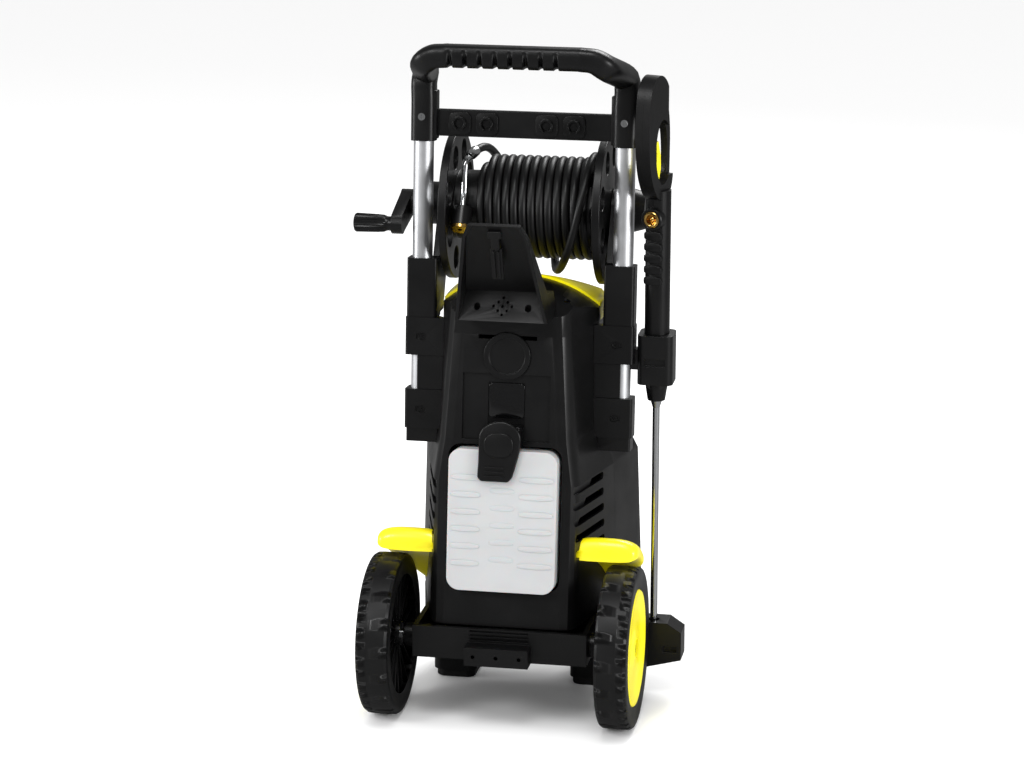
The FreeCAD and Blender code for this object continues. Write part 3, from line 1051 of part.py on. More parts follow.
# ---------------------------------------------------------------- build, check and write
rear_housing()
front = front_housing()
covers()
for name, sign in (("left", -1), ("right", 1)):
    fender(name, sign)
    wheel(name, sign)
frame = base_frame()
front_feet()
axle()
detergent_tank()
round_cap()
cord_hook()
right_sleeve, right_clamp = mast()
handle()
cross_bar()
reel_brackets(right_sleeve)
reel_drum()
crank()
hose()
gun()
gun_holders(right_clamp, frame)
drive(front)
doc.recompute()

failed = [item.Name for item in doc.Objects if set(item.State) & {"Invalid", "Error"}]
assert not failed, f"failed: {failed}"
os.makedirs("parts", exist_ok=True)
empty = [item.Label for item in nodes if item.Shape.isNull() or not item.Shape.isValid() or not item.Shape.Solids]
assert not empty, f"no valid solid: {empty}"
for item in nodes:
    item.Shape.exportStep(f"parts/{item.Label}.step")
    print(f"{item.Label}: {len(item.Shape.Solids)} solids, {item.Shape.Volume / 1000:.1f} cm3")
print(len(nodes), "nodes")
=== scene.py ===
# %% [markdown]
# # A wheeled pressure washer
# This lesson dresses a finished engineering model. The frame brings in every CAD part at its true place;
# here those parts get rounded edges, moulded detail and procedural materials, and the hose becomes one cord.

# %% Load the engineering model
import json
import math

import bmesh
import bpy
from mathutils import Matrix, Vector

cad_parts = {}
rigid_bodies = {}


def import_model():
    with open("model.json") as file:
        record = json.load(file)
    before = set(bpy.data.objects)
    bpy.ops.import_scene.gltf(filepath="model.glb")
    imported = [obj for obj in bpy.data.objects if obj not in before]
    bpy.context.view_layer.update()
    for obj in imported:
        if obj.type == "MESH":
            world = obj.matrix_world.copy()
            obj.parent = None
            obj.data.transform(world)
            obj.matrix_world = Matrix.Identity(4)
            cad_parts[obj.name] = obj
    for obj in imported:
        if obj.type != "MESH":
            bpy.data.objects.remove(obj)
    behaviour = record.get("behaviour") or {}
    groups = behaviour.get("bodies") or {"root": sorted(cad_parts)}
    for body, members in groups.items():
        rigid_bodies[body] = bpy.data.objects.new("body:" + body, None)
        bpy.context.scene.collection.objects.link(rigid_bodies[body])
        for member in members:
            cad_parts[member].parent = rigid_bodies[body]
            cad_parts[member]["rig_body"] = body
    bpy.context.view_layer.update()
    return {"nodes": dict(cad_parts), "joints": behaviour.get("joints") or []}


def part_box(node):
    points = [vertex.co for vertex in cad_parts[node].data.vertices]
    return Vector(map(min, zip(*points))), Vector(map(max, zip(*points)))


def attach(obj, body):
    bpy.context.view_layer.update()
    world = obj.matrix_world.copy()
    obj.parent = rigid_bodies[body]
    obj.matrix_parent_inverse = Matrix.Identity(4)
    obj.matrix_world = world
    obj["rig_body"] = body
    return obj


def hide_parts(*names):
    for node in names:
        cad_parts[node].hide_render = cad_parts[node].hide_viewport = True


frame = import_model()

MM = 0.001
nodes = frame["nodes"]
joint_at = {joint["name"]: Vector(joint["pos_m"]) for joint in frame["joints"] if "pos_m" in joint}
WHEEL = joint_at["wheel_right_spin"]
REEL = joint_at["reel_spin"]

# %% [markdown]
# ## The camera and the studio
# A product shot is taken from far away with a long lens, so upright lines stay nearly upright. The camera
# stands on the operator's side, a little to the right, and looks slightly down.

# %% Camera
CAMERA_PLACE = Vector((0.7052, -3.8138, 1.4520))
CAMERA_TARGET = Vector((-0.0113, 0.025, 0.3953))
LENS = 114.7
SENSOR = 36

camera_data = bpy.data.cameras.new("camera")
camera_data.lens = LENS
camera_data.sensor_width = SENSOR
camera_data.clip_end = 50
camera = bpy.data.objects.new("camera", camera_data)
camera.location = CAMERA_PLACE
camera.rotation_euler = (CAMERA_TARGET - CAMERA_PLACE).to_track_quat("-Z", "Y").to_euler()
bpy.context.scene.collection.objects.link(camera)
bpy.context.scene.camera = camera
bpy.context.scene.view_settings.view_transform = "Standard"

# %% Floor, world and soft lights
FLOOR_DROP = 0.0003
FLOOR_WHITE = 0.96
MIRRORED = 0.2


def flat_floor(size):
    """A pale floor, just under the feet, that looks dark in reflections."""
    bm = bmesh.new()
    bmesh.ops.create_grid(bm, x_segments=1, y_segments=1, size=size)
    bmesh.ops.translate(bm, verts=bm.verts, vec=(0, 0, -FLOOR_DROP))
    mesh = bpy.data.meshes.new("floor")
    bm.to_mesh(mesh)
    floor = bpy.data.objects.new("floor", mesh)
    bpy.context.scene.collection.objects.link(floor)
    paint = bpy.data.materials.new("floor_paper")
    paint.use_nodes = True
    shader = paint.node_tree.nodes["Principled BSDF"]
    shades = paint.node_tree.nodes.new("ShaderNodeMix")
    shades.data_type = "RGBA"
    shades.inputs["A"].default_value = [FLOOR_WHITE] * 3 + [1]
    shades.inputs["B"].default_value = [MIRRORED] * 3 + [1]
    rays = paint.node_tree.nodes.new("ShaderNodeLightPath")
    paint.node_tree.links.new(rays.outputs["Is Glossy Ray"], shades.inputs["Factor"])
    paint.node_tree.links.new(shades.outputs["Result"], shader.inputs["Base Color"])
    shader.inputs["Roughness"].default_value = 0.7
    mesh.materials.append(paint)


def softbox(name, place, aim, size, power):
    """A large square lamp that looks at a point."""
    data = bpy.data.lights.new(name, "AREA")
    data.size = size
    data.energy = power
    lamp = bpy.data.objects.new(name, data)
    lamp.location = place
    lamp.rotation_euler = (Vector(aim) - Vector(place)).to_track_quat("-Z", "Y").to_euler()
    bpy.context.scene.collection.objects.link(lamp)


def studio_world(seen, bounced, mirrored):
    """White surroundings: one strength for the backdrop, one for soft light and one for reflections."""
    world = bpy.data.worlds.new("studio")
    world.use_nodes = True
    tree = world.node_tree
    rays = tree.nodes.new("ShaderNodeLightPath")
    strength = bounced
    for output, level in (("Is Glossy Ray", mirrored), ("Is Camera Ray", seen)):
        mix = tree.nodes.new("ShaderNodeMix")
        tree.links.new(rays.outputs[output], mix.inputs["Factor"])
        if isinstance(strength, float):
            mix.inputs["A"].default_value = strength
        else:
            tree.links.new(strength, mix.inputs["A"])
        mix.inputs["B"].default_value = level
        strength = mix.outputs["Result"]
    tree.links.new(strength, tree.nodes["Background"].inputs["Strength"])
    tree.nodes["Background"].inputs["Color"].default_value = (1, 1, 1, 1)
    bpy.context.scene.world = world


flat_floor(12)
studio_world(seen=1.0, bounced=1.05, mirrored=MIRRORED)
for name, place, aim_height, size, power in (
        ("key", (-1.4, -2.1, 2.0), 0.4, 0.7, 22), ("top", (0.1, -1.2, 2.6), 0.5, 0.8, 20),
        ("side", (2.3, -1.3, 0.9), 0.4, 0.7, 30), ("left", (-2.4, -0.8, 0.9), 0.5, 0.6, 22),
        ("rim", (0.5, 2.2, 2.3), 0.5, 1.2, 40)):
    softbox(name, place, (0, 0, aim_height), size, power)

# %% [markdown]
# ## Materials
# Every finish is made from shader nodes that read Object coordinates, which are metres here, so a grain of
# half a millimetre stays half a millimetre on every part. A noise drives small changes of colour and
# roughness, and a finer one a shallow bump.

# %% A base for every finish
def finish(name, color, roughness, metallic=0.0, spread=0.15, grain=900, bump=0.02, tone=0.25, **sockets):
    """Principled material with noise in its colour and roughness, and a fine bump."""
    material = bpy.data.materials.new(name)
    material.use_nodes = True
    tree = material.node_tree
    shader = tree.nodes["Principled BSDF"]
    shader.inputs["Metallic"].default_value = metallic
    for socket, number in sockets.items():
        shader.inputs[socket.replace("_", " ")].default_value = number
    place = tree.nodes.new("ShaderNodeTexCoord").outputs["Object"]
    blotch = tree.nodes.new("ShaderNodeTexNoise")
    blotch.inputs["Scale"].default_value = 22
    blotch.inputs["Detail"].default_value = 5
    tree.links.new(place, blotch.inputs["Vector"])
    shades = tree.nodes.new("ShaderNodeValToRGB")
    shades.color_ramp.elements[0].position = 0.3
    shades.color_ramp.elements[1].position = 0.7
    shades.color_ramp.elements[0].color = [c * (1 - tone) for c in color] + [1]
    shades.color_ramp.elements[1].color = list(color) + [1]
    tree.links.new(blotch.outputs["Fac"], shades.inputs["Fac"])
    tree.links.new(shades.outputs["Color"], shader.inputs["Base Color"])
    matt = tree.nodes.new("ShaderNodeMapRange")
    matt.inputs["From Min"].default_value = 0.3
    matt.inputs["From Max"].default_value = 0.7
    matt.inputs["To Min"].default_value = roughness * (1 - spread)
    matt.inputs["To Max"].default_value = min(1.0, roughness * (1 + spread))
    tree.links.new(blotch.outputs["Fac"], matt.inputs["Value"])
    tree.links.new(matt.outputs["Result"], shader.inputs["Roughness"])
    speck = tree.nodes.new("ShaderNodeTexNoise")
    speck.name = "grain"
    speck.inputs["Scale"].default_value = grain
    speck.inputs["Detail"].default_value = 3
    tree.links.new(place, speck.inputs["Vector"])
    relief = tree.nodes.new("ShaderNodeBump")
    relief.name = "relief"
    relief.inputs["Strength"].default_value = 0.5
    relief.inputs["Distance"].default_value = bump * MM
    tree.links.new(speck.outputs["Fac"], relief.inputs["Height"])
    tree.links.new(relief.outputs["Normal"], shader.inputs["Normal"])
    return material


def brushed(material, stretch):
    """Stretch a finish's grain along one axis, as brushing and drawing leave it."""
    tree = material.node_tree
    mapping = tree.nodes.new("ShaderNodeMapping")
    mapping.inputs["Scale"].default_value = stretch
    tree.links.new(tree.nodes["Texture Coordinate"].outputs["Object"], mapping.inputs["Vector"])
    tree.links.new(mapping.outputs["Vector"], tree.nodes["grain"].inputs["Vector"])


# %% The finishes of this machine
DULL = {"Specular_IOR_Level": 0.34}
satin_black = finish("satin_black_abs", (0.0028, 0.0028, 0.003), 0.30, grain=1500, bump=0.05, **DULL)
panel_black = finish("moulded_black_abs", (0.0030, 0.0030, 0.0032), 0.35, grain=2200, bump=0.07, **DULL)
gloss_black = finish("gloss_black_abs", (0.002, 0.002, 0.0022), 0.08, bump=0.004, Specular_IOR_Level=0.6)
yellow = finish("yellow_abs", (0.90, 0.78, 0.004), 0.32, bump=0.02, tone=0.05, Coat_Weight=0.2)
tank_white = finish("translucent_hdpe", (0.41, 0.41, 0.415), 0.40, bump=0.06, tone=0.04,
                    Subsurface_Weight=0.25, Subsurface_Scale=0.01, Specular_IOR_Level=0.4)
aluminium = finish("satin_aluminium", (0.78, 0.79, 0.81), 0.45, 1.0, bump=0.04, tone=0.06)
brushed(aluminium, (1, 1, 0.02))
chrome = finish("bright_steel", (0.62, 0.63, 0.64), 0.16, 1.0, bump=0.02, tone=0.08)
brushed(chrome, (1, 1, 0.05))
brass = finish("machined_brass", (0.74, 0.46, 0.13), 0.24, 1.0, bump=0.03, tone=0.2)
rubber = finish("black_rubber", (0.004, 0.004, 0.004), 0.6, bump=0.12, **DULL)
tyre_black = finish("tyre_black", (0.0035, 0.0035, 0.0037), 0.40, bump=0.08, **DULL)
hose_black = finish("hose_cover", (0.0035, 0.0035, 0.0037), 0.42, bump=0.04, **DULL)
motor_grey = finish("motor_enamel", (0.16, 0.17, 0.19), 0.42, bump=0.08)
cast_metal = finish("cast_alloy", (0.38, 0.39, 0.40), 0.48, 1.0, bump=0.3, grain=500)
print("materials:", len(bpy.data.materials))

# %% [markdown]
# ## Helpers for pieces
# A piece is one bmesh turned into one object that sits at the origin, rides on a body and may stand for CAD
# nodes. Smooth shading with sharp edges above an angle keeps moulded corners crisp.

# %% From bmesh to piece
def piece(name, bm, material, body, *replaced, slot=None, angle=35):
    """Make an object from a bmesh, shade it, and attach it to its body."""
    mesh = bpy.data.meshes.new(name)
    bm.normal_update()
    bm.to_mesh(mesh)
    bm.free()
    mesh.shade_smooth()
    mesh.set_sharp_from_angle(angle=math.radians(angle))
    for one in material if isinstance(material, (list, tuple)) else [material]:
        mesh.materials.append(one)
    thing = bpy.data.objects.new(name, mesh)
    bpy.context.scene.collection.objects.link(thing)
    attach(thing, body)
    if replaced:
        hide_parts(*replaced)
    return thing


def rounded_edges(thing, width, segments=3, angle=30):
    """Bevel every edge that is sharper than an angle."""
    bevel = thing.modifiers.new("rounding", "BEVEL")
    bevel.width = width * MM
    bevel.segments = segments
    bevel.limit_method = "ANGLE"
    bevel.angle_limit = math.radians(angle)
    bevel.use_clamp_overlap = True
    bevel.harden_normals = True
    return thing


WELD = 0.00002
FLAT = math.radians(0.05)


def merged_copy(node):
    """The CAD node's triangles as one welded bmesh with its flat faces joined."""
    bm = bmesh.new()
    bm.from_mesh(nodes[node].data)
    bmesh.ops.remove_doubles(bm, verts=bm.verts, dist=WELD)
    bmesh.ops.dissolve_limit(bm, angle_limit=FLAT, verts=bm.verts, edges=bm.edges)
    return bm


def moulded(node, material, slot, width=1.0, segments=3, angle=30):
    """A CAD part as it leaves its mould: the same shape with rounded edges."""
    body = nodes[node]["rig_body"]
    thing = piece(f"{node}_moulded", merged_copy(node), material, body, node, slot=slot)
    return rounded_edges(thing, width, segments, angle)


# %% Round shapes by spinning a profile
TURN = {"X": Matrix.Rotation(math.radians(90), 4, "Y"), "Y": Matrix.Rotation(math.radians(-90), 4, "X"),
        "Z": Matrix.Identity(4)}


def spun(bm, profile, axis, centre, steps=64):
    """Spin (along, radius) points, in millimetres, about an axis through a centre. Returns its vertices."""
    before = set(bm.verts)
    verts = [bm.verts.new((radius * MM, 0, along * MM)) for along, radius in profile]
    edges = [bm.edges.new(pair) for pair in zip(verts, verts[1:])]
    bmesh.ops.spin(bm, geom=verts + edges, cent=(0, 0, 0), axis=(0, 0, 1), angle=math.tau, steps=steps,
                   use_merge=True)
    bmesh.ops.remove_doubles(bm, verts=[v for v in bm.verts if v not in before], dist=0.000005)
    made = [v for v in bm.verts if v not in before]
    bmesh.ops.transform(bm, matrix=Matrix.Translation(centre) @ TURN[axis], verts=made)
    faces = {face for vert in made for face in vert.link_faces}
    bmesh.ops.recalc_face_normals(bm, faces=list(faces))
    return made


def block(bm, low, high, bevel=0.0, segments=2):
    """Box between two corners in metres, with all its edges rounded by a size in millimetres."""
    low, high = Vector(low), Vector(high)
    middle, size = (low + high) / 2, high - low
    place = Matrix.Translation(middle) @ Matrix.Diagonal(size).to_4x4()
    made = bmesh.ops.create_cube(bm, size=1, matrix=place)
    if bevel:
        edges = list({edge for vert in made["verts"] for edge in vert.link_edges})
        result = bmesh.ops.bevel(bm, geom=edges, offset=bevel * MM, offset_type="OFFSET", affect="EDGES",
                                 segments=segments, profile=0.5, material=-1)
        return list({vert for face in result["faces"] for vert in face.verts})
    return made["verts"]


# %% [markdown]
# ## Tyres
# The tyre is a hard ring with recesses pressed into its tread: along the outer edge pointed and square ones by
# turns, along the inner edge short ones. A spun profile gives a band of faces, and the recesses are those
# faces pushed inwards. Their outer corners stay, so each recess runs out at the shoulder.

# %% A tyre
MODULES = 18
COLUMNS = 8
TYRE_WIDTH = 40
TREAD_R = 100
RECESS = 2.6
OUTER_BAND = (28.5, 39.5)
INNER_BAND = (1, 12)
TREAD_FLOOR = 96.9
RECESS_FLOOR = 98
POINT = 3.2


def tyre_profile():
    """Cross-section from the inner side (0) to the outer side (TYRE_WIDTH), as (across, radius)."""
    return [(1, 74), (0.5, 88.5), (0, 90), (0, 95.5), (1, 97.6), (4, 99.6), (12, TREAD_R), (26, TREAD_R),
            (28.5, TREAD_R), (36, 99.6), (39, 97.6), (TYRE_WIDTH, 95.5), (TYRE_WIDTH, 90), (39.3, 76),
            (38, 72.4), (30, 72.4), (30, 74)]


def tread_cell(face, across, angle):
    """Which recess a tread face belongs to, if any."""
    column = int(angle / math.tau * MODULES * COLUMNS) % COLUMNS
    if OUTER_BAND[0] < across < OUTER_BAND[1]:
        return column in (0, 1, 4)
    if INNER_BAND[0] < across < INNER_BAND[1]:
        return column in (5, 6)
    return False


def tyre(side, sign):
    """One tyre, with its outer side away from the machine."""
    bm = bmesh.new()
    spun(bm, tyre_profile(), "X", (0, 0, 0), MODULES * COLUMNS)
    pressed = []
    for face in bm.faces:
        middle = face.calc_center_median()
        radius = math.hypot(middle.y, middle.z) / MM
        angle = math.atan2(middle.z, middle.y) % math.tau
        if radius > TREAD_FLOOR and tread_cell(face, middle.x / MM, angle):
            pressed.append(face)
    grown = bmesh.ops.extrude_face_region(bm, geom=pressed)["geom"]
    for vert in [item for item in grown if isinstance(item, bmesh.types.BMVert)]:
        radius = math.hypot(vert.co.y, vert.co.z) / MM
        if radius > RECESS_FLOOR:
            scale = (radius - RECESS) / radius
            vert.co.y *= scale
            vert.co.z *= scale
        column = round(math.atan2(vert.co.z, vert.co.y) % math.tau / math.tau * MODULES * COLUMNS)
        if column % COLUMNS == 1 and 28 < vert.co.x / MM < 29:
            vert.co.x -= POINT * MM
    bmesh.ops.remove_doubles(bm, verts=bm.verts, dist=0.00001)
    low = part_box(f"tyre_{side}")[0 if sign > 0 else 1]
    bmesh.ops.scale(bm, vec=(sign, 1, 1), verts=bm.verts)
    bmesh.ops.translate(bm, vec=(low.x, WHEEL.y, WHEEL.z), verts=bm.verts)
    bmesh.ops.recalc_face_normals(bm, faces=bm.faces)
    return piece(f"tyre_{side}_treaded", bm, tyre_black, f"wheel_{side}", f"tyre_{side}", slot="tyre",
                 angle=28)


for side, sign in (("left", -1), ("right", 1)):
    print("tyre faces:", len(tyre(side, sign).data.polygons))

# %% [markdown]
# ## Hubs
# Behind its plain yellow disc the wheel is a spoked moulding: thin ribs in pairs, spread like a V from the
# hub to the rim. The disc is dished, with a small cap over the axle clip.

# %% Spokes and discs
RIBS = 20
RIB_LEAN = 11
RIM_R = 88.6


def hub(side, sign):
    """Black spoked centre and yellow disc of one wheel."""
    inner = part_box(f"tyre_{side}")[0 if sign > 0 else 1].x / MM
    bm = bmesh.new()
    spun(bm, [(3, 6.06), (3, 15), (12, 16), (29.6, 17), (29.6, 71.8), (27, 71.8), (27, 6.06), (3, 6.06)], "X",
         (0, 0, 0), 80)
    spun(bm, [(26, 88.9), (28.5, 88.9), (28.5, 71), (26, 71), (26, 88.9)], "X", (0, 0, 0), 80)
    for i in range(RIBS):
        lean = math.radians(RIB_LEAN if i % 2 else -RIB_LEAN)
        rib = block(bm, (4 * MM, 14 * MM, -1 * MM), (28 * MM, 89 * MM, 1 * MM), 0.4, 1)
        bmesh.ops.rotate(bm, verts=rib, cent=(0, 16 * MM, 0), matrix=Matrix.Rotation(lean, 3, "X"))
        bmesh.ops.rotate(bm, verts=rib, matrix=Matrix.Rotation(math.tau * (i // 2) / (RIBS // 2), 3, "X"))
        for vert in rib:
            radius = math.hypot(vert.co.y, vert.co.z) / MM
            if radius < 60:
                vert.co.x += 5 * MM * (60 - radius) / 60 * (1 if vert.co.x < 10 * MM else 0)
            if radius > RIM_R:
                vert.co.yz = vert.co.yz * (RIM_R / radius)
    for vert in bm.verts:
        vert.co = Vector((sign * vert.co.x + inner * MM, vert.co.y + WHEEL.y, vert.co.z + WHEEL.z))
    bmesh.ops.recalc_face_normals(bm, faces=bm.faces)
    piece(f"hub_{side}_spokes", bm, satin_black, f"wheel_{side}", f"hub_{side}", slot="black_plastic")
    bm = bmesh.new()
    spun(bm, [(30, 12), (30, 71.9), (37.8, 71.9), (39.4, 70.5), (39.4, 66), (36.5, 60), (35.6, 30), (37.2, 14),
              (38.5, 12), (34, 12), (30, 12)], "X", (0, 0, 0), 96)
    for vert in bm.verts:
        vert.co = Vector((sign * vert.co.x + inner * MM, vert.co.y + WHEEL.y, vert.co.z + WHEEL.z))
    bmesh.ops.recalc_face_normals(bm, faces=bm.faces)
    piece(f"hub_{side}_disc", bm, yellow, f"wheel_{side}", slot="yellow_plastic")


for side, sign in (("left", -1), ("right", 1)):
    hub(side, sign)

# %% [markdown]
# ## Moulded parts
# Injection-moulded plastic has no knife edges. The CAD shapes are right, so each one is copied, welded and
# given a bevel: wide on mudguards and grips, narrow on clamps and clips.

# %% Housings, frame and holders
MOULDED = {
    "rear_housing": 1.6, "front_housing": 2.5, "top_cover": 2.0, "base_frame": 1.8, "front_feet": 1.5,
    "cord_hook": 1.2, "round_cap": 0.8, "tube_plugs": 1.0, "tube_sleeve_left": 2.0, "tube_sleeve_right": 2.0,
    "upper_clamp_left": 2.0, "upper_clamp_right": 2.0, "lower_clamp_left": 2.0, "lower_clamp_right": 2.0,
    "filler_plates": 0.8, "reel_bracket_left": 1.5, "reel_bracket_right": 1.5, "gun_cradle": 2.0,
    "lance_foot": 1.6, "cross_bar": 1.0, "nozzle_clips": 0.6, "crank_arm": 1.8, "reel_drum": 1.2,
    "switch_box": 1.0, "gun_shell_left": 3.5, "gun_shell_right": 3.5,
}
for node, width in MOULDED.items():
    coat = rubber if node == "front_feet" else panel_black
    moulded(node, coat, "rubber" if node == "front_feet" else "black_plastic", width)
for node, width in {"front_hood": 1.2, "gun_trigger": 1.5, "power_dial": 1.2}.items():
    moulded(node, yellow, "yellow_plastic", width)

# %% CAD parts that keep their shape
KEPT = {
    "mast_tube_left": aluminium, "mast_tube_right": aluminium, "wheel_axle": chrome,
    "axle_clips": chrome, "lance_tube": chrome, "lance_tip": brass, "pressure_outlet": brass,
    "water_inlet": gloss_black, "cord_gland": rubber, "motor": motor_grey, "motor_fan": satin_black,
    "pump": cast_metal, "hose_stem": chrome, "coupling_ring": brass, "hose_coupling": satin_black,
    "lance_nut": satin_black,
}
for node, coat in KEPT.items():
    nodes[node].data.materials.clear()
    nodes[node].data.materials.append(coat)

# %% [markdown]
# ## Screws
# The handle's two screws are bright; those in the clamps are black, painted shade for the dark holes they sit
# in.
# One piece with two materials: faces low on the mast take the second one.

# %% Bright screws, and clamp screws black as painted shade
HANDLE_START = 0.62

bm = merged_copy("frame_screws")
# faces low on the mast take satin black: painted shade for the dark holes round the clamp screws
for face in bm.faces:
    face.material_index = 1 if face.calc_center_median().z < HANDLE_START else 0
piece("frame_screws_finished", bm, [chrome, satin_black], "root", "frame_screws")

# %% [markdown]
# ## The leaning rear face
# The tank, its closure and the panel over it lie on the rear face, which leans. Their detail is built in the
# face's own frame: x across, y inwards, z up the face, and a matrix then lays it on.

# %% A frame on the rear face
LEAN = math.atan(0.1286)
FACE_FOOT = 124
REAR_FACE = Matrix.Translation((0, -109 * MM, FACE_FOOT * MM)) @ Matrix.Rotation(-LEAN, 4, "X")


def up_face(level):
    """Distance up the leaning face of a height in millimetres."""
    return (level - FACE_FOOT) / math.cos(LEAN)


def on_face(bm, verts):
    """Lay vertices built in millimetres of the face's frame onto the machine."""
    bmesh.ops.transform(bm, matrix=REAR_FACE @ Matrix.Scale(MM, 4), verts=verts)


def plate(bm, outline, near, far, bevel):
    """Extrude an (x, z) outline in millimetres from one depth to another and round its edges."""
    ring = bm.faces.new([bm.verts.new((x, near, z)) for x, z in outline])
    grown = bmesh.ops.extrude_face_region(bm, geom=[ring])["geom"]
    moved = [item for item in grown if isinstance(item, bmesh.types.BMVert)]
    bmesh.ops.translate(bm, vec=(0, far - near, 0), verts=moved)
    verts = list(set(moved) | set(ring.verts))
    bmesh.ops.recalc_face_normals(bm, faces=list({f for v in verts for f in v.link_faces}))
    if bevel:
        edges = list({edge for vert in verts for edge in vert.link_edges})
        made = bmesh.ops.bevel(bm, geom=edges, offset=bevel, offset_type="OFFSET", affect="EDGES",
                               segments=3, profile=0.5, material=-1, clamp_overlap=True)
        verts = list({vert for face in made["faces"] for vert in face.verts})
    return verts


def oval(x, z, wide, high, power=2.6, count=40):
    """Outline of a soft rectangle."""
    spots = []
    for i in range(count):
        turn = math.tau * i / count
        c, s = math.cos(turn), math.sin(turn)
        spots.append((x + wide * math.copysign(abs(c) ** (2 / power), c),
                      z + high * math.copysign(abs(s) ** (2 / power), s)))
    return spots

# %% [markdown]
# ## Detergent tank
# The bottle keeps its CAD shape with a soft rim. Blow-moulding leaves short bars across it in two columns, and
# fainter ones between them.

# %% Tank and its bars
BAR_ROWS = 6
LOWEST_BAR = 203
BAR_PITCH = 21
BAR_HALF = 3.4

moulded("detergent_tank", tank_white, "tank_plastic", 5.0, 5, 40)
bm = bmesh.new()
for row in range(BAR_ROWS):
    level = up_face(LOWEST_BAR + BAR_PITCH * row)
    for x, wide, proud in ((-45, 18, 1.0), (42, 21, 1.0), (0, 15, 0.5)):
        top = level + (6 if x == 0 else 0)
        on_face(bm, plate(bm, oval(x, top, wide, BAR_HALF, 3), -13.0, -14 - proud, 0.5))
piece("tank_bars", bm, tank_white, "tank", slot="tank_plastic")

# %% [markdown]
# ## Tank closure
# A thumb-shaped lever with a domed top: it covers the neck and hangs over the tank, with grip bars at its end.

# %% Closure
def thumb():
    """Outline of the lever: round at the top, narrower and slanted below."""
    top = up_face(357)
    arch = [(26 * math.cos(math.radians(a)) - 3, top + 22 * math.sin(math.radians(a)))
            for a in range(0, 181, 12)]
    foot = up_face(305)
    return arch + [(-29, foot + 24), (-30, foot + 5), (-26, foot), (8, foot), (13, foot + 6), (21, foot + 36)]


bm = bmesh.new()
on_face(bm, plate(bm, thumb(), -14.4, -22.6, 3.2))
block_outline = [(-20, up_face(344)), (20, up_face(344)), (20, up_face(372)), (-20, up_face(372))]
on_face(bm, plate(bm, block_outline, 4.5, -18, 1.0))
on_face(bm, plate(bm, oval(-4, up_face(350), 18, 15, 2.4), -20, -25, 2.2))
for i in range(3):
    on_face(bm, plate(bm, oval(-9, up_face(311 + 5.5 * i), 12, 1.4, 4, 24), -21, -24.2, 0.5))
piece("tank_closure_finished", bm, panel_black, "closure", "tank_closure", slot="black_plastic")

# %% [markdown]
# ## Panel over the tank
# A glossy window in its recess, and a lip round the long slot above the badge.

# %% Window and slot lip
bm = bmesh.new()
on_face(bm, plate(bm, oval(0, up_face(401), 22, up_face(422) - up_face(401), 9, 48), 4.6, 2.6, 0.5))
piece("gloss_window", bm, gloss_black, "root", slot="black_plastic")
bm = bmesh.new()
lip = plate(bm, oval(0, up_face(497), 40, 9.5, 5, 56), 3.2, 1.2, 0.6)
on_face(bm, lip)
hole = plate(bm, oval(0, up_face(496), 34, 3.2, 4, 48), 1.0, 0.9, 0)
on_face(bm, hole)
for face in bm.faces:
    face.material_index = 1 if all(v in hole for v in face.verts) else 0
piece("slot_lip", bm, [panel_black, gloss_black], "root", slot="black_plastic")

# %% [markdown]
# ## Handle
# A ring of vertices is carried along the handle's line and each new ring is bridged to the last one. The
# section is a soft square, a little thicker on the legs, and eight finger notches are pressed into the grip.

# %% Sections along a line
def ring(bm, centre, across, up, wide, high, power, count):
    """One closed ring of vertices: a soft rectangle across a line."""
    made = bmesh.ops.create_circle(bm, segments=count, radius=1)["verts"]
    for vert in made:
        c, s = vert.co.x, vert.co.y
        x = wide * math.copysign(abs(c) ** (2 / power), c)
        z = high * math.copysign(abs(s) ** (2 / power), s)
        vert.co = centre + across * x + up * z
    return made


def swept(bm, rings):
    """Bridge rings one after another and close both ends."""
    def edges(verts):
        return [e for e in {e for v in verts for e in v.link_edges} if all(v in verts for v in e.verts)]
    loops = [edges(verts) for verts in rings]
    for first, second in zip(loops, loops[1:]):
        bmesh.ops.bridge_loops(bm, edges=first + second)
    bmesh.ops.holes_fill(bm, edges=loops[0] + loops[-1], sides=0)
    bmesh.ops.recalc_face_normals(bm, faces=bm.faces)


MAST = Matrix.Translation((0, 13 * MM, 322 * MM)) @ Matrix.Rotation(math.radians(-5.16), 4, "X")
TUBE_X = 125.3


def mast_point(x, up, y=0.0):
    """A place on the leaning mast, in metres, from millimetres along it."""
    return MAST @ (Vector((x, y, up)) * MM)


def smooth_line(points, per=8):
    """Catmull-Rom line through points, as many steps between each pair as asked."""
    padded = [points[0] * 2 - points[1]] + points + [points[-1] * 2 - points[-2]]
    line = []
    for a, b, c, d in zip(padded, padded[1:], padded[2:], padded[3:]):
        for i in range(per):
            t = i / per
            line.append(0.5 * (2 * b + (c - a) * t + (2 * a - 5 * b + 4 * c - d) * t * t
                               + (3 * b - a - 3 * c + d) * t ** 3))
    return line + [points[-1]]


# %% Handle
def handle_line():
    """Right half of the handle's line from the collar's foot to the grip, in metres."""
    return [mast_point(TUBE_X, 374), mast_point(TUBE_X, 400), mast_point(TUBE_X, 424), mast_point(125.8, 444),
            mast_point(123.5, 458, -3), Vector((112, -14, 800)) * MM, Vector((98, -25, 810)) * MM,
            Vector((82, -27, 812.2)) * MM]


GRIP_HALF = 80
NOTCH_START = -84
NOTCH_END = 62
NOTCH_PITCH = 18.4
NOTCH_DEEP = 6.5


def grip_line():
    """The whole line, with close steps along the grip."""
    half = smooth_line(handle_line(), 5)
    other = [Vector((-p.x, p.y, p.z)) for p in reversed(half)]
    grip = [Vector((x, -27, 812.4)) * MM for x in range(GRIP_HALF, -GRIP_HALF - 1, -1)]
    return half + grip + other


def notched(verts, spot, depth):
    """Press the lower rear of a ring inwards."""
    aim = Vector((0, -0.75, -0.66))
    for vert in verts:
        share = max(0.0, (vert.co - spot).normalized().dot(aim))
        vert.co -= aim * depth * share ** 2


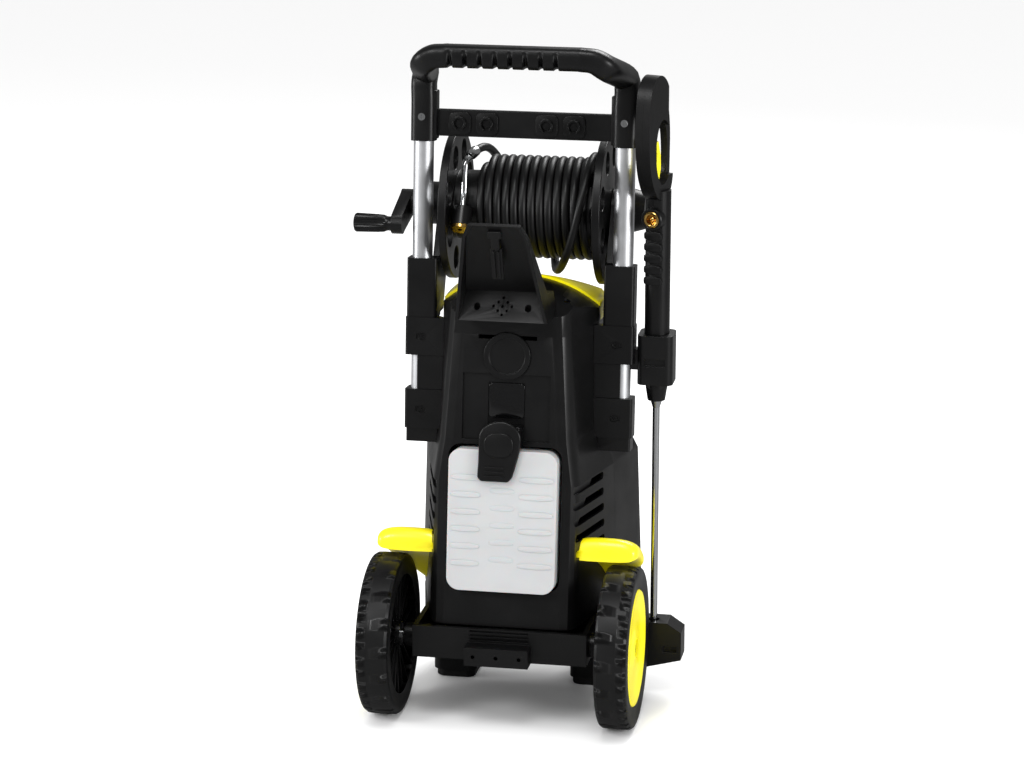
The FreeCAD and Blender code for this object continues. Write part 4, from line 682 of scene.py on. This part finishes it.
bm = bmesh.new()
line = grip_line()
rings = []
for i, spot in enumerate(line):
    ahead = (line[min(i + 1, len(line) - 1)] - line[max(i - 1, 0)]).normalized()
    back = Vector((0, -1, 0))
    outward = (back - ahead * ahead.dot(back)).normalized()
    across = ahead.cross(outward).normalized()
    if i and across.dot(last_across) < 0:
        across = -across
    last_across = across
    rise = min(1.0, abs(ahead.z) * 1.4)
    thick = (13.4 + 1.4 * rise) * MM
    verts = ring(bm, spot, outward, across, thick, thick + 0.6 * MM, 3.2, 32)
    place = ((spot.x / MM - NOTCH_START) / NOTCH_PITCH) % 1
    if NOTCH_START * MM < spot.x < NOTCH_END * MM and rise < 0.1 and 0.3 < place < 0.62:
        notched(verts, spot, NOTCH_DEEP * MM * (1 - ((place - 0.46) / 0.16) ** 2))
    rings.append(verts)
swept(bm, rings)
for side in (-1, 1):
    web = block(bm, ((side * 113 - 5) * MM, -9 * MM, 376 * MM), ((side * 113 + 5) * MM, 9 * MM, 436 * MM), 1.5)
    bmesh.ops.transform(bm, matrix=MAST, verts=web)
piece("handle_grip", bm, panel_black, "root", "handle_arch", slot="black_plastic", angle=42)

# %% [markdown]
# ## Mudguards
# The same sweep, bent round the wheel: each ring stands on the line from the axle outwards, from just behind
# the top to low in front, where only the inner side is left.

# %% Mudguards
WHEEL_PLACE = Vector((0, WHEEL.y, WHEEL.z))
GUARD_STEPS = 40
GUARD_IN = 78
GUARD_OUT = 163
GUARD_R = 105.6


def mudguard(side, sign):
    """Domed yellow guard over one wheel."""
    bm = bmesh.new()
    rings = []
    for step in range(GUARD_STEPS + 1):
        t = step / GUARD_STEPS
        angle = math.radians(86 - 70 * t)
        end = min(1.0, t * 9)
        start = math.sqrt(1 - (1 - end) ** 2)
        high = (15 + 14 * start) * (1 - 0.55 * t)
        outer_x = GUARD_OUT - 6 * (1 - start) - 58 * max(0.0, (t - 0.45) / 0.55) ** 1.5
        radial = Vector((0, math.cos(angle), math.sin(angle)))
        middle = Vector((sign * (GUARD_IN + outer_x) / 2 * MM, 0, 0))
        centre = WHEEL_PLACE + radial * (GUARD_R + high * 0.3) * MM + middle
        half = (outer_x - GUARD_IN) / 2
        verts = ring(bm, centre, Vector((1, 0, 0)), radial, half * MM, high * 0.7 * MM, 3.0, 40)
        for vert in verts:
            rise = (vert.co - centre).dot(radial)
            if rise < 0:
                vert.co -= radial * rise * 0.57
        rings.append(verts)
    swept(bm, rings)
    piece(f"fender_{side}_domed", bm, yellow, "root", f"fender_{side}", slot="yellow_plastic", angle=50)


for side, sign in (("left", -1), ("right", 1)):
    mudguard(side, sign)

# %% [markdown]
# ## Gun inlet
# A brass socket with a nipple in it, in a black collar, turned with the gun.

# %% Inlet and collar
GUN = Matrix.Translation((168 * MM, 35 * MM, 612 * MM)) @ Matrix.Rotation(math.radians(-18), 4, "Z")


def on_gun(name, profile, material, slot, *replaced):
    """Spin a profile about the inlet's line, which points out of the gun's rear."""
    bm = bmesh.new()
    spun(bm, profile, "Y", (0, 0, 0), 56)
    bmesh.ops.transform(bm, matrix=GUN, verts=bm.verts)
    piece(name, bm, material, "gun", *replaced, slot=slot)


SOCKET = [(-20.6, 6.6), (-21, 7.2), (-21, 9.2), (-20.4, 9.9), (-3, 9.9), (-3, 0), (-17, 0), (-17.4, 1.4),
          (-17, 2.4), (-9, 2.6), (-9, 6.6), (-20.6, 6.6)]
COLLAR = [(-19.6, 10.1), (-20.4, 11), (-20.4, 13), (-19.4, 13.8), (-9, 14.2), (-9, 10.1), (-19.6, 10.1)]
on_gun("gun_inlet_socket", SOCKET, brass, "brass", "gun_inlet")
on_gun("gun_inlet_collar", COLLAR, panel_black, "black_plastic")

# %% Raised bands on the gun's fore end
BANDS = 5
BAND_PITCH = 14

bm = bmesh.new()
for i in range(BANDS):
    band = plate(bm, oval(0, -21 - BAND_PITCH * i, 11.5, 5.4, 4, 32), -9, -16.4, 1.0)
    bmesh.ops.transform(bm, matrix=GUN @ Matrix.Scale(MM, 4), verts=band)
piece("fore_bands", bm, panel_black, "gun", slot="black_plastic")

# %% [markdown]
# ## Crank knob
# A fluted grip: every other column of a spun profile is drawn in.

# %% Knob
FLUTE_COLUMNS = 48
FLUTE = 0.09

knob_low, knob_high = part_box("crank_knob")
bm = bmesh.new()
long = (knob_high.x - knob_low.x) / MM
knob_at = Vector((knob_low.x, (knob_low.y + knob_high.y) / 2, (knob_low.z + knob_high.z) / 2))
spun(bm, [(0, 0), (0.2, 8), (1.2, 10.6), (3, 11.8), (30, 11.2), (38, 10.6), (42, 9.0), (44, 8.8), (long, 9.4),
          (long, 4.1), (3, 4.1), (3, 0)], "X", knob_at, FLUTE_COLUMNS)
for vert in bm.verts:
    along, turn = (vert.co.x - knob_at.x) / MM, math.atan2(vert.co.z - knob_at.z, vert.co.y - knob_at.y)
    radius = math.hypot(vert.co.z - knob_at.z, vert.co.y - knob_at.y)
    if 1.5 < along < 40 and radius > 9 * MM and round(turn / math.tau * FLUTE_COLUMNS) % 2:
        vert.co.y += (knob_at.y - vert.co.y) * FLUTE
        vert.co.z += (knob_at.z - vert.co.z) * FLUTE
piece("crank_knob_fluted", bm, satin_black, "crank_grip", "crank_knob", slot="black_plastic", angle=25)

# %% [markdown]
# ## Nozzle clips
# Rounded square plates behind the four spring clips.

# %% Clip plates
CLIPS_X = (-80, -46, 28, 62)

bm = bmesh.new()
for x in CLIPS_X:
    flat = plate(bm, oval(x, 396.5, 13.5, 13.5, 4.5, 48), -1, -5, 1.0)
    jaws = plate(bm, oval(x, 399, 7.5, 7.5, 2, 32), -4, -7, 0.6)
    bmesh.ops.transform(bm, matrix=MAST @ Matrix.Scale(MM, 4), verts=flat + jaws)
piece("clip_plates", bm, panel_black, "root", slot="black_plastic")

# %% [markdown]
# ## Holder detail
# A keyhole-shaped rib and a slotted tongue on the leaning back of the cord and tool holder.

# %% Rib and tongue
HOLDER_LEAN = math.atan2(153 - 108, 634 - 508)
HOLDER_FOOT = Matrix.Translation((0, -108 * MM, 508 * MM))
HOLDER = HOLDER_FOOT @ Matrix.Rotation(HOLDER_LEAN, 4, "X") @ Matrix.Scale(MM, 4)
KEYHOLE = [(-8, 118), (-8, 126), (8, 126), (8, 118), (5, 116), (5, 102), (-5, 102), (-5, 116)]

bm = bmesh.new()
parts = plate(bm, KEYHOLE, -1, 5, 0.8)
parts += plate(bm, [(-7, 58), (7, 58), (7, 100), (-7, 100)], 3.2, 7, 0.6)
for x in (-3, 3):
    parts += plate(bm, [(x - 1.2, 60), (x + 1.2, 60), (x + 1.2, 98), (x - 1.2, 98)], 0.6, 5, 0.4)
bmesh.ops.transform(bm, matrix=HOLDER, verts=parts)
piece("hook_rib", bm, panel_black, "root", slot="black_plastic")

# %% [markdown]
# ## The hose
# One real cord: a first layer wound from the right flange to the left, a second layer back again, then the last
# loose turn with its hanging loop, up to the steel pipe. The loose part repeats the engineering model's route.
# A quadratic spline cuts its corners a little, so the control points sit slightly further out.

# %% Route round the reel
HOSE_RADIUS = 5.25
STEP = 22.5
LAYERS_R = (48.4, 58.9)
LOOSE = [
    (80, 118, 71.5), (77, 143, 71.5), (73, 166, 71.8), (67, 188, 73), (59, 208, 76), (50, 226, 79),
    (40, 245, 78.5), (32, 265, 75.5), (26, 288, 72), (22, 312, 71.6), (10, 334, 71.5), (-10, 354, 71.5),
    (-32, 371, 71.5), (-48, 390, 71.5), (-54, 412, 71.5), (-59, 436, 71.5), (-65, 456, 71.6),
    (-71, 473, 71.8)]


def wound():
    """Both wound layers and the climb to the loose turn, as (x, angle, radius)."""
    spots = []
    right, left, pitch = 80.4, -56.1, 10.6
    turns = (right - left) / pitch
    steps = round(turns * 360 / STEP)
    angle = 48 - 2 * steps * STEP
    for i in range(steps + 1):
        spots.append((right + (left - right) * i / steps, angle, LAYERS_R[0]))
        angle += STEP
    for i in range(1, steps + 1):
        climb = min(1.0, i / 6)
        radius = LAYERS_R[0] + (LAYERS_R[1] - LAYERS_R[0]) * climb
        spots.append((left + (right - left) * i / steps, angle, radius))
        angle += STEP
    for i in (1, 2):
        spots.append((right, 48 + 23 * i, LAYERS_R[1] + 4.2 * i))
    return spots


def round_reel(x, angle, radius):
    """World place of a spot round the reel's axis."""
    turn = math.radians(angle)
    cut = 0.75 + 0.25 * math.cos(math.radians(STEP))
    out = radius / cut * MM
    return Vector((x * MM, REEL.y + out * math.cos(turn), REEL.z + out * math.sin(turn)))


# %% The cord itself
route = [round_reel(*spot) for spot in wound() + LOOSE]
curve = bpy.data.curves.new("hose", "CURVE")
curve.dimensions = "3D"
curve.bevel_depth = HOSE_RADIUS * MM
curve.bevel_resolution = 4
curve.resolution_u = 4
curve.use_fill_caps = True
spline = curve.splines.new("NURBS")
spline.points.add(len(route) - 1)
for point, place in zip(spline.points, route):
    point.co = (*place, 1)
spline.order_u = 3
spline.use_endpoint_u = True
curve.materials.append(hose_black)
hose = bpy.data.objects.new("hose", curve)
bpy.context.scene.collection.objects.link(hose)
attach(hose, "reel")
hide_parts("hose_winding", "hose_loop")

# %% Crimp at the hose's end
way = (route[-1] - route[-2]).normalized()
along_way = Matrix.Translation(route[-1]) @ way.to_track_quat("Z", "Y").to_matrix().to_4x4()
bm = bmesh.new()
spun(bm, [(-15, 5.3), (-15, 6.3), (-14, 6.7), (-3, 6.7), (-1, 6.2), (1, 5.4), (3, 4.6), (3, 4.1), (-0.2, 4.1),
          (-0.2, 5.3), (-15, 5.3)], "Z", (0, 0, 0), 40)
bmesh.ops.transform(bm, matrix=along_way, verts=bm.verts)
crimp = piece("hose_crimp", bm, chrome, "reel", slot="steel")
